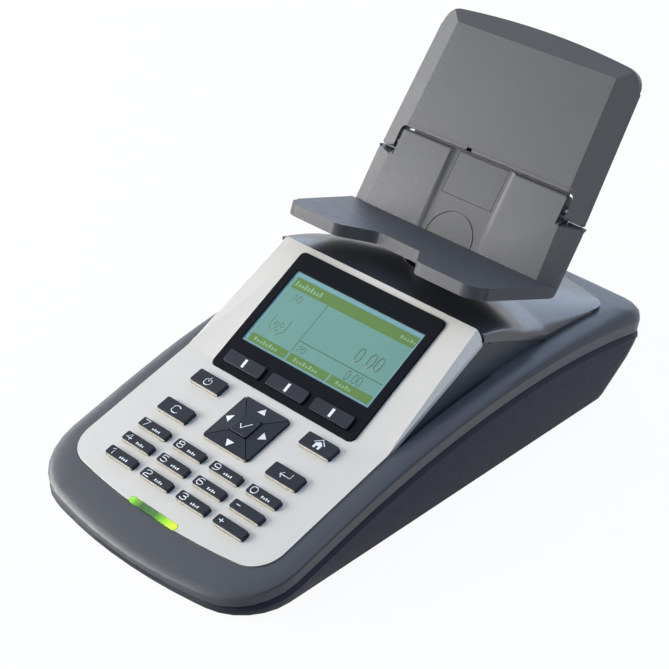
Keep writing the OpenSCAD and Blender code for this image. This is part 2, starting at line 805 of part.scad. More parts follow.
// One quadrant of the arrow square, between the two diagonals
module quadrant_plan(outer, inner) {
    cut = nav_gap / sqrt(2);
    polygon([[inner, -inner + cut], [outer, -outer + cut], [outer, outer - cut], [inner, inner - cut]]);
}

module arrow_key(i) {
    outer = nav_w / 2;
    inner = ok_w / 2 + nav_gap;
    color(KEY) on_keys() translate([0, nav_v, 0]) rotate([0, 0, 90 * i]) difference() {
        union() {
            intersection() {
                slab(-mat_top, key_rise) quadrant_plan(outer, inner);
                slab(-mat_top - 1, key_rise + 1) rounded(nav_w, nav_w, 2);
            }
            slab(-mat_top, -fascia_t) quadrant_plan(outer + flange_w, inner);
        }
        // top face falls away from the OK key
        translate([inner, 0, key_rise]) rotate([0, nav_slope, 0])
            block(-20, 40, -40, 40, 0, 20);
        // clearance over the foot of the OK key
        slab(-mat_top - 1, -fascia_t + key_travel + 0.4)
            square([ok_w + 2 * ok_foot + 2 * nav_gap, ok_w + 2 * ok_foot + 2 * nav_gap], center = true);
    }
}

module key_ok() {
    color(KEY) on_keys() translate([0, nav_v, 0]) {
        slab(-mat_top, ok_rise) rounded(ok_w, ok_w, 1.2);
        slab(-mat_top, -fascia_t) rounded(ok_w + 2 * ok_foot, ok_w + 2 * ok_foot, 1.2);
    }
}

module soft_key(i) {
    color(KEY) on_display() translate([(i - 1) * soft_pitch, soft_at, 0])
        key_shape(soft_w, soft_d, window_proud + 1.3);
}

/* ---- saddle cover ---- */

saddle_hw = fascia_hw;
saddle_bow = 180;
saddle_corner = 6;
saddle_rows = 14;
saddle_cols = 20;

function saddle_rear(x) =
    let (c = max(0, abs(x) - saddle_hw + saddle_corner))
    saddle_y1 - x * x / 2 / saddle_bow - saddle_corner + sqrt(max(0, saddle_corner ^ 2 - c * c));

// Crown across X: flat beside the display, an ellipse further back
function crown(s, t) = let (p = 2 + 3 * max(0, 1 - 3 * t)) (1 - min(1, abs(s)) ^ p) ^ (1 / p);

function saddle_point(i, j) =
    let (t = i / saddle_rows,
         s = sin(-90 + 180 * j / saddle_cols),
         x = saddle_hw * s,
         y = saddle_y0 + t * (saddle_rear(x) - saddle_y0),
         yc = saddle_y0 + t * (saddle_y1 - saddle_y0))
    [x, y, saddle_edge(y) + (saddle_ridge(yc) - saddle_edge(yc)) * crown(s, t)];

// Solid between the saddle's surface, lowered by one amount, and the same surface lowered by another
module saddle_solid(top, bottom) {
    n = saddle_cols + 1;
    m = saddle_rows + 1;
    upper = [for (i = [0:m - 1], j = [0:n - 1]) saddle_point(i, j) - [0, 0, top]];
    lower = [for (i = [0:m - 1], j = [0:n - 1]) saddle_point(i, j) - [0, 0, bottom]];
    k = n * m;
    ring = concat([for (j = [0:n - 1]) j], [for (i = [1:m - 1]) i * n + n - 1],
                  [for (j = [n - 2:-1:0]) (m - 1) * n + j], [for (i = [m - 2:-1:1]) i * n]);
    polyhedron(
        points = concat(upper, lower),
        faces = concat(
            [for (i = [0:m - 2], j = [0:n - 2]) let (a = i * n + j)
                each [[a, a + n, a + n + 1], [a, a + n + 1, a + 1]]],
            [for (i = [0:m - 2], j = [0:n - 2]) let (a = k + i * n + j)
                each [[a + n + 1, a + n, a], [a + 1, a + n + 1, a]]],
            [for (i = [0:len(ring) - 1]) let (a = ring[i], b = ring[(i + 1) % len(ring)])
                each [[a, b, b + k], [a, b + k, a + k]]]));
}

module saddle_cover() {
    color(DARK) difference() {
        union() {
            saddle_solid(0, saddle_t);
            intersection() {
                saddle_solid(0, 30);
                translate([0, well_y, well_floor]) cylinder(h = 60, r = well_r + 2);
            }
        }
        translate([0, well_y, 0]) cylinder(h = 120, r = well_r);
    }
}

/* ---- weighing platform: hopper, flap and post ---- */

crease_y = well_y + 6.7;
crease_h = saddle_ridge(crease_y) + tray_gap;
shelf_hw = hopper_w / 2 - 4;
plate_hw = hopper_w / 2;
plate_bevel = 3.4;
flat_hw = plate_hw - 8.6;
tongue_hw = plate_hw - 12.2;
hinge_u = tongue_h - 7;
hinge_n = 4;
knuckle_r = 3.6;
skin_t = 2.6;
shoulder_u = hinge_u - 7.4;
notch_gap = 1.1;
tongue_round = 1.5;
tongue_corner = 2.2;
lip_depth = 4.3;
lip_reach = 2.9;
arm_hw = plate_hw - 9;
flap_top_hw = plate_hw - 4.1;
flap_flat_in = 12.3;
arm_foot = hinge_u - 3.7;
arm_round = 1.5;
pin_hw = plate_hw - 6.5;
heel_r = 3.5;
root = 0.4;

module on_plate() {
    translate([0, crease_y, crease_h]) rotate([90 - plate_lean, 0, 0]) children();
}

module on_shelf() {
    translate([0, crease_y, crease_h]) rotate([shelf_rise, 0, 180]) children();
}

// Prism with sloped sides along a plate: half-widths of its front face and of its rim
module bevelled(u0, u1, flat0, flat1, rim0, rim1, depth) {
    function section(u, flat, rim) =
        mirrored([[flat, 0, u], [rim, plate_bevel, u], [rim, depth, u]]);
    rotate([-90, 0, 0]) loft([section(u0, flat0, rim0), section(u1, flat1, rim1)]);
}

// Space under the shelf and behind the plate, down from their front faces
module under_hopper(drop) {
    reach = 40;
    side([[crease_y - reach * cos(shelf_rise), 0],
          [crease_y - reach * cos(shelf_rise), crease_h - drop + reach * sin(shelf_rise)],
          [crease_y, crease_h - drop],
          [crease_y + reach * sin(plate_lean), crease_h - drop + reach * cos(plate_lean)],
          [crease_y + reach * sin(plate_lean), 0]], 2 * plate_hw);
}

// Finger recess in the front edge of the shelf, its corners rounded inside and at its mouth
module recess_plan() {
    depth = 15.8;
    mouth_hw = 25;
    end_hw = 13;
    offset(r = -6) offset(delta = 6) offset(r = 3) offset(delta = -3) {
        polygon([[-end_hw, shelf_d - depth], [end_hw, shelf_d - depth],
                 [mouth_hw, shelf_d + 1], [-mouth_hw, shelf_d + 1]]);
        translate([-plate_hw, shelf_d + eps]) square([2 * plate_hw, 30]);
    }
}

module shelf() {
    corner = 8;
    on_shelf() slab(-shelf_t, 0) difference() {
        polygon(mirrored_2d(concat(
            [[plate_hw, -root], [shelf_hw + 1, shelf_d - corner - 1]],
            [for (a = [0:15:90]) [shelf_hw - corner + corner * cos(a), shelf_d - corner + corner * sin(a)]])));
        recess_plan();
    }
}

// Round heel that joins the shelf's underside to the plate's back
module heel() {
    low = [shelf_t - heel_r, plate_t - heel_r];
    centre = [low[1] * cos(shelf_rise) - low[0] * sin(plate_lean),
              -low[1] * sin(shelf_rise) - low[0] * cos(plate_lean)] / cos(plate_lean - shelf_rise);
    translate([0, crease_y, crease_h]) side(concat(
        [[0, 0], shelf_t * [-sin(shelf_rise), -cos(shelf_rise)]],
        [for (a = steps(-90 - shelf_rise, -plate_lean, 8)) centre + heel_r * [cos(a), sin(a)]],
        [plate_t * [cos(plate_lean), -sin(plate_lean)]]), 2 * plate_hw);
}

channel_hw = 17;
channel_slope = 3;
channel_top = 1.4;
channel_low = 0.3;

// Frame on the floor of the shallow channel in the lower plate
module on_channel() {
    on_plate() translate([0, 0, -channel_low])
        rotate([-atan((channel_top - channel_low) / tongue_h), 0, 0]) children();
}

tab_hw = 15;
tab_u0 = 20;
tab_u1 = tongue_h - 0.5;
tab_t = 1.4;
arch_r = 14;

module channel_cut() {
    function section(u, depth) =
        mirrored([[channel_hw + channel_slope, -1, u], [channel_hw + channel_slope, 0, u],
                  [channel_hw, depth, u]]);
    on_plate() rotate([-90, 0, 0]) loft([section(0, channel_low), section(tongue_h + 1, channel_top)]);
}

module lower_plate() {
    difference() {
        on_plate() difference() {
            union() {
                bevelled(-root, shoulder_u, flat_hw, flat_hw - 1.5, plate_hw, plate_hw, plate_t);
                // tongue between the arms of the flap, its top edge rounded
                intersection() {
                    side(concat(
                        [[shoulder_u - 4, -plate_t], [shoulder_u - 4, 0]],
                        [for (a = [90:-15:0]) [tongue_h - tongue_round, -tongue_round]
                                              + tongue_round * [cos(a), sin(a)]],
                        [[tongue_h, -plate_t]]), 2 * tongue_hw);
                    slab(-plate_t, 0) translate([0, tongue_h / 2]) rounded(2 * tongue_hw, tongue_h, tongue_corner);
                }
                // lip behind the lower edge of the flap
                slab(-plate_t, -lip_depth) translate([0, tongue_h + lip_reach / 2])
                    square([2 * tongue_hw - 6, lip_reach + 2 * root], center = true);
                translate([0, hinge_u, -hinge_n]) rod_x(-tongue_hw - 0.6, tongue_hw + 0.6, knuckle_r - 1.2);
            }
            // hollow back, with ribs left between three pockets
            for (x = [-1, 0, 1])
                translate([x * (tongue_hw - 2) * 2 / 3, 0, 0])
                    block(-(tongue_hw - 4) / 3, (tongue_hw - 4) / 3, 14, tongue_h - 14, -plate_t - 1, -skin_t - 1.2);
            both_sides() translate([0, hinge_u, -hinge_n]) rod_x(tongue_hw - 8, plate_hw, pin_r);
        }
        channel_cut();
        on_channel() {
            slab(-tab_t, 5) translate([0, (tab_u0 + tab_u1) / 2])
                square([2 * tab_hw + 0.3, tab_u1 - tab_u0 + 0.3], center = true);
            difference() {
                slab(-0.5, 0.5) circle(arch_r);
                slab(-1, 1) circle(arch_r - 0.5);
            }
        }
    }
}

post_top = crease_h - 10;
boss_outer = 12;

module hopper() {
    color(GREY) difference() {
        union() {
            shelf();
            heel();
            lower_plate();
            // boss on the underside for the load post
            intersection() {
                translate([0, well_y, post_top]) cylinder(h = 40, r = boss_outer);
                under_hopper(shelf_t / 2);
            }
        }
        translate([0, well_y, post_top - 1]) cylinder(h = 8, r = screw_r);
    }
}

module hopper_tab() {
    color(GREY) on_channel() slab(-tab_t, 0) translate([0, (tab_u0 + tab_u1) / 2])
        square([2 * tab_hw, tab_u1 - tab_u0], center = true);
}

module flap() {
    bottom = tongue_h + notch_gap;
    groove_d = 0.3;
    back_n = skin_t + 1.2;
    corner = 9.5;
    top_r = 420;
    corner_x = flap_top_hw - corner;
    corner_u = plate_h - corner - corner_x ^ 2 / 2 / top_r;
    color(GREY) on_plate() difference() {
        intersection() {
            bevelled(arm_foot, plate_h, plate_hw - flap_flat_in, flap_top_hw - flap_flat_in + 1,
                     plate_hw - 0.9, flap_top_hw, plate_t);
            // outline with a bowed top edge and round corners
            slab(-20, 5) polygon(concat(
                [[-plate_hw + 2 * arm_round, arm_foot - 1], [-plate_hw, arm_foot + arm_round], [-plate_hw, corner_u]],
                [for (a = [180:-15:90]) [-corner_x + corner * cos(a), corner_u + corner * sin(a)]],
                [for (x = [-40:10:40]) [x, plate_h - x * x / 2 / top_r]],
                [for (a = [90:-15:0]) [corner_x + corner * cos(a), corner_u + corner * sin(a)]],
                [[plate_hw, corner_u], [plate_hw, arm_foot + arm_round], [plate_hw - 2 * arm_round, arm_foot - 1]]));
        }
        // bevel along the top edge
        translate([0, plate_h - 9.8, 0]) rotate([-19, 0, 0]) block(-80, 80, 0, 30, 0, 10);
        // notch for the tongue of the lower plate, and a thin groove and a slot above it
        slab(-20, 5) translate([0, (bottom + arm_foot - 10) / 2]) rounded(2 * arm_hw - 1, bottom - arm_foot + 10, 3);
        slab(-groove_d, 1) translate([0, bottom + 1.8]) square([2 * arm_hw - 1, 0.4], center = true);
        slab(-20, 5) translate([-10, bottom]) square([3.2, 3], center = true);
        // hollow back, open below to clear the lip
        slab(-20, -back_n) translate([0, (bottom + plate_h) / 2])
            rounded(2 * flap_top_hw - 8, plate_h - bottom - 11, 4);
        slab(-20, -back_n) translate([0, bottom + 4]) square([2 * tongue_hw - 4, 12], center = true);
        both_sides() translate([0, hinge_u, -hinge_n]) rod_x(arm_hw - 4, pin_hw + 0.2, pin_r + 0.05);
    }
}

module hinge_pins() {
    color(METAL) on_plate() both_sides() translate([0, hinge_u, -hinge_n])
        rod_x(tongue_hw - 8, pin_hw, pin_r);
}

module load_post() {
    color(METAL) translate([0, well_y, 0]) difference() {
        union() {
            translate([0, 0, cell_top]) cylinder(h = post_top - cell_top, r = post_r);
            translate([0, 0, post_top]) cylinder(h = 5, r = screw_r);
        }
        translate([0, 0, cell_top - 1]) cylinder(h = 9, r = screw_r);
    }
}

/* ---- load cell ---- */

module load_cell() {
    middle = (cell_y0 + cell_y1) / 2;
    flex_r = 4;
    color(METAL) difference() {
        block(-cell_w / 2, cell_w / 2, cell_y0, cell_y1, cell_bottom, cell_top);
        for (y = [-8, 8])
            translate([0, middle + y, cell_top - cell_w / 2]) rod_x(-cell_w, cell_w, flex_r);
        block(-cell_w, cell_w, middle - 8, middle + 8, cell_top - cell_w / 2 - 1, cell_top - cell_w / 2 + 1);
        for (y = [cell_y0 + 6, cell_y0 + cell_mount_l - 6])
            translate([0, y, cell_bottom - 1]) cylinder(h = 9, r = screw_r);
        translate([0, well_y, cell_bottom - 1]) cylinder(h = cell_w + 2, r = screw_r);
    }
}

module load_cell_spacer() {
    color(METAL) difference() {
        translate([0, cell_y0 + cell_mount_l / 2, pad_h])
            slab(0, spacer_t) rounded(cell_w + 4, cell_mount_l, 2);
        for (y = [cell_y0 + 6, cell_y0 + cell_mount_l - 6])
            translate([0, y, 0]) cylinder(h = 40, r = screw_r);
    }
}

module load_cell_screws() {
    color(METAL) {
        for (y = [cell_y0 + 6, cell_y0 + cell_mount_l - 6])
            translate([0, y, floor_z]) screw_up(screw_r, cell_bottom + 6 - floor_z);
    }
}

module post_screw() {
    color(METAL) translate([0, well_y, cell_bottom - head_h])
        screw_up(screw_r, head_h + cell_w + 6);
}

/* ---- electronics ---- */

module main_board() {
    mid_y = (MAIN_BOARD[2] + MAIN_BOARD[3]) / 2;
    color(BOARD) difference() {
        union() {
            block(MAIN_BOARD[0], MAIN_BOARD[1], MAIN_BOARD[2], MAIN_BOARD[3], board_z, board_z + board_t);
            block(-9, 9, mid_y - 27, mid_y - 12, board_z + board_t - eps, board_z + board_t + 1.4);
            block(-34, -20, mid_y + 8, mid_y + 18, board_z + board_t - eps, board_z + board_t + 2);
            block(18, 34, mid_y - 6, mid_y + 2, board_z + board_t - eps, board_z + board_t + 2);
        }
        for (p = MAIN_SCREWS) translate([p.x, p.y, 0]) cylinder(h = 40, r = 1);
    }
}

module main_board_screws() {
    color(METAL) for (p = MAIN_SCREWS)
        translate([p.x, p.y, board_z - 3]) {
            cylinder(h = 3 + board_t, r = 1);
            translate([0, 0, 3 + board_t]) cylinder(h = 1.2, r = 1.9);
        }
}

buzzer_x = 30;
module buzzer() {
    color(BLACK) translate([buzzer_x, MAIN_BOARD[3] - 16, board_z + board_t]) cylinder(h = 3, r = 6);
}

ribbon_v = keypad_v1 - 14;
module ribbon_cable() {
    start = key_pt(ribbon_v, -board_top - board_t);
    low_z = board_z + board_t;
    t = 0.6;
    color("#8f9398") side([
        [start[0] - 3, start[1] - 3 * slope_key], [start[0], start[1]],
        [start[0] + t, start[1] - 2], [start[0] + t, low_z],
        [start[0] - 4, low_z], [start[0] - 4, low_z + t], [start[0], low_z + t],
        [start[0], start[1] - 2], [start[0] - 3, start[1] - 3 * slope_key - t]], 20);
}

module battery_pack() {
    cell_r = battery_h / 2;
    color("#3f5f86") translate([battery_x, battery_y, floor_z]) rotate(90) {
        for (y = [-cell_r - 0.4, cell_r + 0.4])
            translate([0, y, cell_r]) rod_x(-battery_w / 2, battery_w / 2, cell_r);
        block(-battery_w / 2 + 1, battery_w / 2 - 1, -cell_r, cell_r, 0, cell_r);
    }
}

module battery_cover() {
    color(DARK) translate([battery_x, battery_y, 0]) {
        slab(foot_h, foot_h + cover_t) difference() {
            rounded(cover_w, cover_d, 3);
            translate([0, -cover_d / 2 + 5]) rounded(14, 3, 1.2);
        }
        slab(foot_h + cover_t - eps, floor_z)
            rounded(cover_w - 2 * cover_ledge - 0.4, cover_d - 2 * cover_ledge - 0.4, 2);
    }
}

module power_inlet() {
    z0 = floor_z + 2;
    y1 = port_y - port_wall;
    color(BLACK) translate([inlet_x, 0, z0 + jack_h / 2]) rotate([90, 0, 0]) {
        difference() {
            union() {
                translate([0, 0, -y1]) slab(0, jack_l) square([jack_w, jack_h], center = true);
                translate([0, 0, -port_y]) cylinder(h = port_wall + eps, r = 3.8);
            }
            translate([0, 0, -port_y - 1]) cylinder(h = 11, r = 2.75);
        }
        translate([0, 0, -port_y + 1]) cylinder(h = 10, r = 1);
    }
}

module data_port() {
    y1 = port_y - port_wall;
    color(BLACK) difference() {
        block(socket_x - socket_w / 2, socket_x + socket_w / 2, y1 - socket_l, y1, floor_z, floor_z + 2 + socket_h);
        block(socket_x - 4.8, socket_x + 4.8, y1 - 10, y1 + 1, floor_z + 4.5, floor_z + 11.5);
    }
}

/* ---- output ---- */

lower_case();
upper_case();
saddle_cover();
fascia();
display_window();
lcd_panel();
lcd_frame();
display_board();
softkey_mat();
light_pipe();
status_leds();
key_mat();
keypad_board();
keypad_screws();
display_screws();
ribbon_cable();
main_board();
main_board_screws();
buzzer();
load_cell();
load_cell_spacer();
load_cell_screws();
load_post();
post_screw();
hopper();
hopper_tab();
hinge_pins();
flap();
battery_pack();
battery_cover();
power_inlet();
data_port();
case_screws();
feet();
key_ok();
for (name = PLAIN_KEYS) plain_key(name);
for (i = [0:3]) arrow_key(i);
for (i = [0:2]) soft_key(i);
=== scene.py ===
"""Looks of a count-by-weight money counter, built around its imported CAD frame."""
import json
import math
from collections import Counter

import bmesh
import bpy
from mathutils import Matrix, Vector, geometry

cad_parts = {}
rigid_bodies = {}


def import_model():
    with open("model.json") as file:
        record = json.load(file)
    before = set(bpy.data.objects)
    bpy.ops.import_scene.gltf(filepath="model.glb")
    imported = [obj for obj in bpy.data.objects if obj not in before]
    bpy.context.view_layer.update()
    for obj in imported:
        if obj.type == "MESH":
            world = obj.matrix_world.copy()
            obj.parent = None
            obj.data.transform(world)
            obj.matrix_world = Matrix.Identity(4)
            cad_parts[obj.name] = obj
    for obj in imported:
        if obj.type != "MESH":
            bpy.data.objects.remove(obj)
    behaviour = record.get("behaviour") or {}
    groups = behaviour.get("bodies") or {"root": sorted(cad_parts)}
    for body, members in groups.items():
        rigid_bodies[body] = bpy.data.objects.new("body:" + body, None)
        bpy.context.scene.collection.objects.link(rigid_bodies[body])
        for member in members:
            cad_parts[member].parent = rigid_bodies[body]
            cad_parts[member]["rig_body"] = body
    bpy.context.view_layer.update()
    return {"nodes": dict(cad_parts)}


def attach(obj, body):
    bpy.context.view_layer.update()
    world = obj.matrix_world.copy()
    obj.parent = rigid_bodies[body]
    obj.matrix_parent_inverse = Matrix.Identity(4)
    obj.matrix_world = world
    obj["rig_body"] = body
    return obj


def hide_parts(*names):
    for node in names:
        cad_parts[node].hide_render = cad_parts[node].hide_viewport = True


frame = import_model()
NODE = frame["nodes"]
MM = 0.001

# ---------------------------------------------------------------- sizes, as in the part's source (mm)

BODY_W, BODY_L, NOSE_H = 146, 275, 10.1
KEY_TILT, DISPLAY_TILT = math.radians(15.64), math.radians(29.58)
KEYPAD_L, DISPLAY_L = 82.2, 70
Y_FRONT, Y_REAR = -BODY_L / 2, BODY_L / 2
WELL_Y, WELL_R = Y_FRONT + 198.5, 15
EDGE_Y = Y_FRONT + 18
FOLD_Y = EDGE_Y + KEYPAD_L * math.cos(KEY_TILT)
RIM_RISE = 2.6
PITCH_X, PITCH_Y, ROW_1 = 23.4, 10, 15
FUNCTION_V, NAV_V, POWER_V = 48.4, 58.8, 69.3
KEY_RISE, OK_W = 2, 10.5
OK_RISE, ARROW_RISE, ARROW_FALL = KEY_RISE + 0.8, KEY_RISE - 0.1, math.tan(math.radians(5))
SOFT_PITCH, SOFT_V, SOFT_RISE = 27.8, 4, 2.3
LCD_W, LCD_L, LCD_W0 = 80.4, 42.2, 14.3
CREASE_Y, CREASE_H = WELL_Y + 6.7, 74.991
PLATE_LEAN = math.radians(36.29)
HINGE_U, HINGE_N, FLAP_FOLD = 34, 4, math.radians(124)
SADDLE_T, SADDLE_INSET, SADDLE_CORNER = 2.2, 9.8, 6


def lookup(x, knots):
    """Value at x on straight lines between knots of (x, value), level past the ends."""
    for (x0, v0), (x1, v1) in zip(knots, knots[1:]):
        if x <= x1:
            return v0 + (v1 - v0) * max(0, x - x0) / (x1 - x0)
    return knots[-1][1]


def climb(y, knots):
    """Height gained along Y by a line whose slope runs straight between knots of (y, slope)."""
    if y <= knots[0][0]:
        return (y - knots[0][0]) * knots[0][1]
    total = 0
    for (y0, _), (y1, _) in zip(knots, knots[1:]):
        top = min(y, y1)
        if top > y0:
            total += (top - y0) * (lookup(y0, knots) + lookup(top, knots)) / 2
    if y > knots[-1][0]:
        total += (y - knots[-1][0]) * knots[-1][1]
    return total


SLOPE_KEY = math.tan(KEY_TILT)
RIM_PEAK, CREASE_PEAK = WELL_Y + 3, WELL_Y - 7
RIM_KNOTS = [(Y_FRONT, SLOPE_KEY), (FOLD_Y - 10, SLOPE_KEY), (FOLD_Y + 10, 0.186),
             (RIM_PEAK, 0), (Y_REAR, -(Y_REAR - RIM_PEAK) / 560)]
CREASE_KNOTS = [(Y_FRONT, SLOPE_KEY), (Y_FRONT + 59.5, SLOPE_KEY), (CREASE_PEAK, 0),
                (Y_REAR, -(Y_REAR - CREASE_PEAK) / 350)]


def rim_z(y):
    """Height of the case's rim."""
    return NOSE_H + climb(y, RIM_KNOTS)


def crease_z(y):
    """Height of the crease round the outside of the upper case."""
    return NOSE_H - RIM_RISE + climb(y, CREASE_KNOTS)


EDGE_Z = rim_z(EDGE_Y) + 0.5 / math.cos(KEY_TILT)
FOLD_Z = EDGE_Z + KEYPAD_L * math.sin(KEY_TILT)


def tilted(y, z, angle):
    """Frame of a sloping face: X across, Y up the slope, Z out of it."""
    return Matrix.Translation(Vector((0, y, z)) * MM) @ Matrix.Rotation(angle, 4, "X")


ON_KEYS = tilted(EDGE_Y, EDGE_Z, KEY_TILT)
ON_DISPLAY = tilted(FOLD_Y, FOLD_Z, DISPLAY_TILT)
ON_PLATE = tilted(CREASE_Y, CREASE_H, math.pi / 2 - PLATE_LEAN)


# ---------------------------------------------------------------- materials

def linear(rgb):
    """Linear colour of an sRGB one with channels up to 255."""
    out = []
    for v in rgb:
        v /= 255
        out.append(v / 12.92 if v <= 0.04045 else ((v + 0.055) / 1.055) ** 2.4)
    return (*out, 1)


class Nodes:
    """A material's node tree with a Principled shader at its end."""

    def __init__(self, name):
        self.material = bpy.data.materials.new(name)
        self.material.use_nodes = True
        self.tree = self.material.node_tree
        self.tree.nodes.clear()
        self.out = self.add("ShaderNodeOutputMaterial")
        self.shader = self.add("ShaderNodeBsdfPrincipled")
        self.join(self.shader, "BSDF", self.out, "Surface")
        self.coords = self.add("ShaderNodeTexCoord")

    def add(self, kind, **values):
        node = self.tree.nodes.new(kind)
        for key, value in values.items():
            if hasattr(node, key):
                setattr(node, key, value)
            else:
                node.inputs[key.replace("_", " ")].default_value = value
        return node

    def join(self, a, out, b, into):
        self.tree.links.new(a.outputs[out], b.inputs[into])

    def set(self, **values):
        for key, value in values.items():
            self.shader.inputs[key.replace("_", " ")].default_value = value

    def noise(self, scale, detail=2.0, stretch=(1, 1, 1)):
        place = self.add("ShaderNodeMapping", Scale=stretch)
        self.join(self.coords, "Object", place, "Vector")
        n = self.add("ShaderNodeTexNoise", Scale=scale, Detail=detail)
        self.join(place, "Vector", n, "Vector")
        return n

    def ramp(self, source, out, stops):
        r = self.add("ShaderNodeValToRGB")
        elements = r.color_ramp.elements
        while len(elements) < len(stops):
            elements.new(0.5)
        for element, (at, colour) in zip(elements, stops):
            element.position = at
            element.color = colour
        self.join(source, out, r, "Fac")
        return r

    def range(self, source, out, low, high, from_low=0.25, from_high=0.75):
        r = self.add("ShaderNodeMapRange", From_Min=from_low, From_Max=from_high, To_Min=low, To_Max=high)
        self.join(source, out, r, "Value")
        return r

    def bump(self, source, out, height):
        b = self.add("ShaderNodeBump", Distance=height)
        self.join(source, out, b, "Height")
        self.join(b, "Normal", self.shader, "Normal")


def shade(colour, k):
    """The colour made darker or lighter by a factor."""
    return tuple(min(1, c * k) for c in colour[:3]) + (1,)


def plastic(name, rgb, rough=0.45, grain=0.018, grain_scale=2600, mottle=0.05, speckle=0.05, metallic=0.0,
            coat=0.0, coat_rough=0.1, specular=0.5, spread=0.05):
    """Moulded plastic: slow colour drift, fine speckle, spark-eroded grain and uneven gloss."""
    n = Nodes(name)
    base = linear(rgb)
    slow = n.noise(38, 3)
    fine = n.noise(grain_scale * 0.8, 2)
    drift = n.ramp(slow, "Fac", [(0.3, shade(base, 1 - mottle)), (0.7, shade(base, 1 + mottle))])
    spots = n.ramp(fine, "Fac", [(0.3, shade((1, 1, 1), 1 - speckle)), (0.7, (1, 1, 1, 1))])
    mix = n.add("ShaderNodeMix", data_type="RGBA", blend_type="MULTIPLY")
    mix.inputs[0].default_value = 1
    # the node's colour sockets are told apart by number: 6 and 7 go in, 2 comes out
    n.join(drift, "Color", mix, 6)
    n.join(spots, "Color", mix, 7)
    n.join(mix, 2, n.shader, "Base Color")
    gloss = n.noise(310, 3)
    r = n.range(gloss, "Fac", rough - spread, rough + spread)
    n.join(r, "Result", n.shader, "Roughness")
    height = n.noise(grain_scale, 2)
    n.bump(height, "Fac", grain * MM)
    n.set(Metallic=metallic, Coat_Weight=coat, Coat_Roughness=coat_rough, Specular_IOR_Level=specular)
    return n.material


def metal(name, rgb, rough):
    """Machined metal: fine lay of the tool and uneven polish."""
    n = Nodes(name)
    base = linear(rgb)
    lines = n.noise(900, 3, stretch=(1, 1, 14))
    tint = n.ramp(lines, "Fac", [(0.3, shade(base, 0.86)), (0.7, shade(base, 1.05))])
    n.join(tint, "Color", n.shader, "Base Color")
    r = n.range(lines, "Fac", rough - 0.07, rough + 0.1)
    n.join(r, "Result", n.shader, "Roughness")
    n.bump(lines, "Fac", 0.006 * MM)
    n.set(Metallic=1.0)
    return n.material


def board(name, rgb):
    """Circuit board: solder mask over fine copper tracks."""
    n = Nodes(name)
    base = linear(rgb)
    cells = n.add("ShaderNodeTexBrick", Scale=260.0, Mortar_Size=0.03, Brick_Width=0.9, Row_Height=0.3,
                  Color1=base, Color2=shade(base, 0.85), Mortar=shade(base, 1.9))
    n.join(n.coords, "Object", cells, "Vector")
    n.join(cells, "Color", n.shader, "Base Color")
    n.bump(cells, "Fac", 0.02 * MM)
    n.set(Roughness=0.35, Coat_Weight=0.3)
    return n.material


BODY = plastic("body_plastic", (71, 74, 80), 0.4, 0.02, 1900, 0.03, 0.06, specular=0.36)
# the case plastic made darker and bluer for the lower case and battery cover: painted shade, as the shaded
# sides look
BODY_PAINTED_SHADE = plastic("lower_plastic_painted_shade", (50, 55, 66), 0.5, 0.014, 2400, 0.03, 0.05, specular=0.14)
HOPPER = plastic("hopper_plastic", (76, 77, 80), 0.42, 0.05, 1300, 0.04, 0.12, specular=0.36)
SADDLE = plastic("saddle_gloss", (52, 55, 61), 0.34, 0.002, 1500, 0.03, 0.02, coat=0.35, coat_rough=0.2)
FASCIA = plastic("fascia_silver", (214, 211, 205), 0.36, 0.006, 3600, 0.012, 0.035, metallic=0.25)
WINDOW = plastic("window_black", (13, 17, 24), 0.24, 0.002, 2600, 0.04, 0.05, specular=0.1)
CAP = plastic("key_slate", (29, 35, 45), 0.36, 0.008, 3000, 0.05, 0.08, specular=0.26)
# pale colour given only to the keys' front faces: a painted highlight, not the keys' own colour
KEY_FRONT_PAINTED_HIGHLIGHT = plastic("key_cream", (214, 211, 198), 0.42, 0.006, 2600, 0.02, 0.04)
INK = plastic("legend_white", (238, 240, 242), 0.5, 0.003, 3000, 0.01, 0.02)
RUBBER = plastic("foot_rubber", (38, 39, 42), 0.72, 0.03, 1800, 0.08, 0.1)
CONNECTOR = plastic("connector_black", (28, 29, 31), 0.42, 0.012, 2400, 0.05, 0.08)
SILICONE = plastic("silicone", (196, 194, 184), 0.6, 0.01, 1500, 0.03, 0.03)
BATTERY = plastic("battery_wrap", (58, 92, 134), 0.3, 0.006, 800, 0.05, 0.03, coat=0.3)
CABLE = plastic("ribbon_grey", (140, 144, 148), 0.45, 0.02, 700, 0.04, 0.06)
STEEL = metal("screw_steel", (176, 178, 182), 0.28)
ALLOY = metal("machined_alloy", (196, 198, 201), 0.3)
GREEN_BOARD = board("board_green", (38, 96, 62))


def glow_pipe():
    """Lime light pipe with its glow painted in: colour and emission bright at its ends, with painted shade
    darker green in the middle.
    """
    n = Nodes("light_pipe_lime_painted_glow")
    split = n.add("ShaderNodeSeparateXYZ")
    n.join(n.coords, "Object", split, "Vector")
    across = n.range(split, "X", 0.0, 1.0, -0.0152, 0.0152)
    cloud = n.noise(420, 2)
    shift = n.add("ShaderNodeMath", operation="MULTIPLY_ADD")
    n.join(cloud, "Fac", shift, 0)
    shift.inputs[1].default_value = 0.1
    n.join(across, "Result", shift, 2)
    # bright ends and a dark middle along X: painted glow at the ends and painted shade in the middle, in both
    # colour and emission
    stops = [(0.04, (0.30, 0.72, 0.02, 1)), (0.16, (0.16, 0.5, 0.01, 1)), (0.3, (0.03, 0.10, 0.02, 1)),
             (0.6, (0.04, 0.17, 0.02, 1)), (0.8, (0.25, 0.62, 0.01, 1)), (0.95, (0.6, 0.85, 0.03, 1))]
    colours = n.ramp(shift, "Value", stops)
    n.join(colours, "Color", n.shader, "Base Color")
    n.join(colours, "Color", n.shader, "Emission Color")
    n.bump(cloud, "Fac", 0.02 * MM)
    n.set(Roughness=0.16, Emission_Strength=0.35, Coat_Weight=0.4)
    return n.material


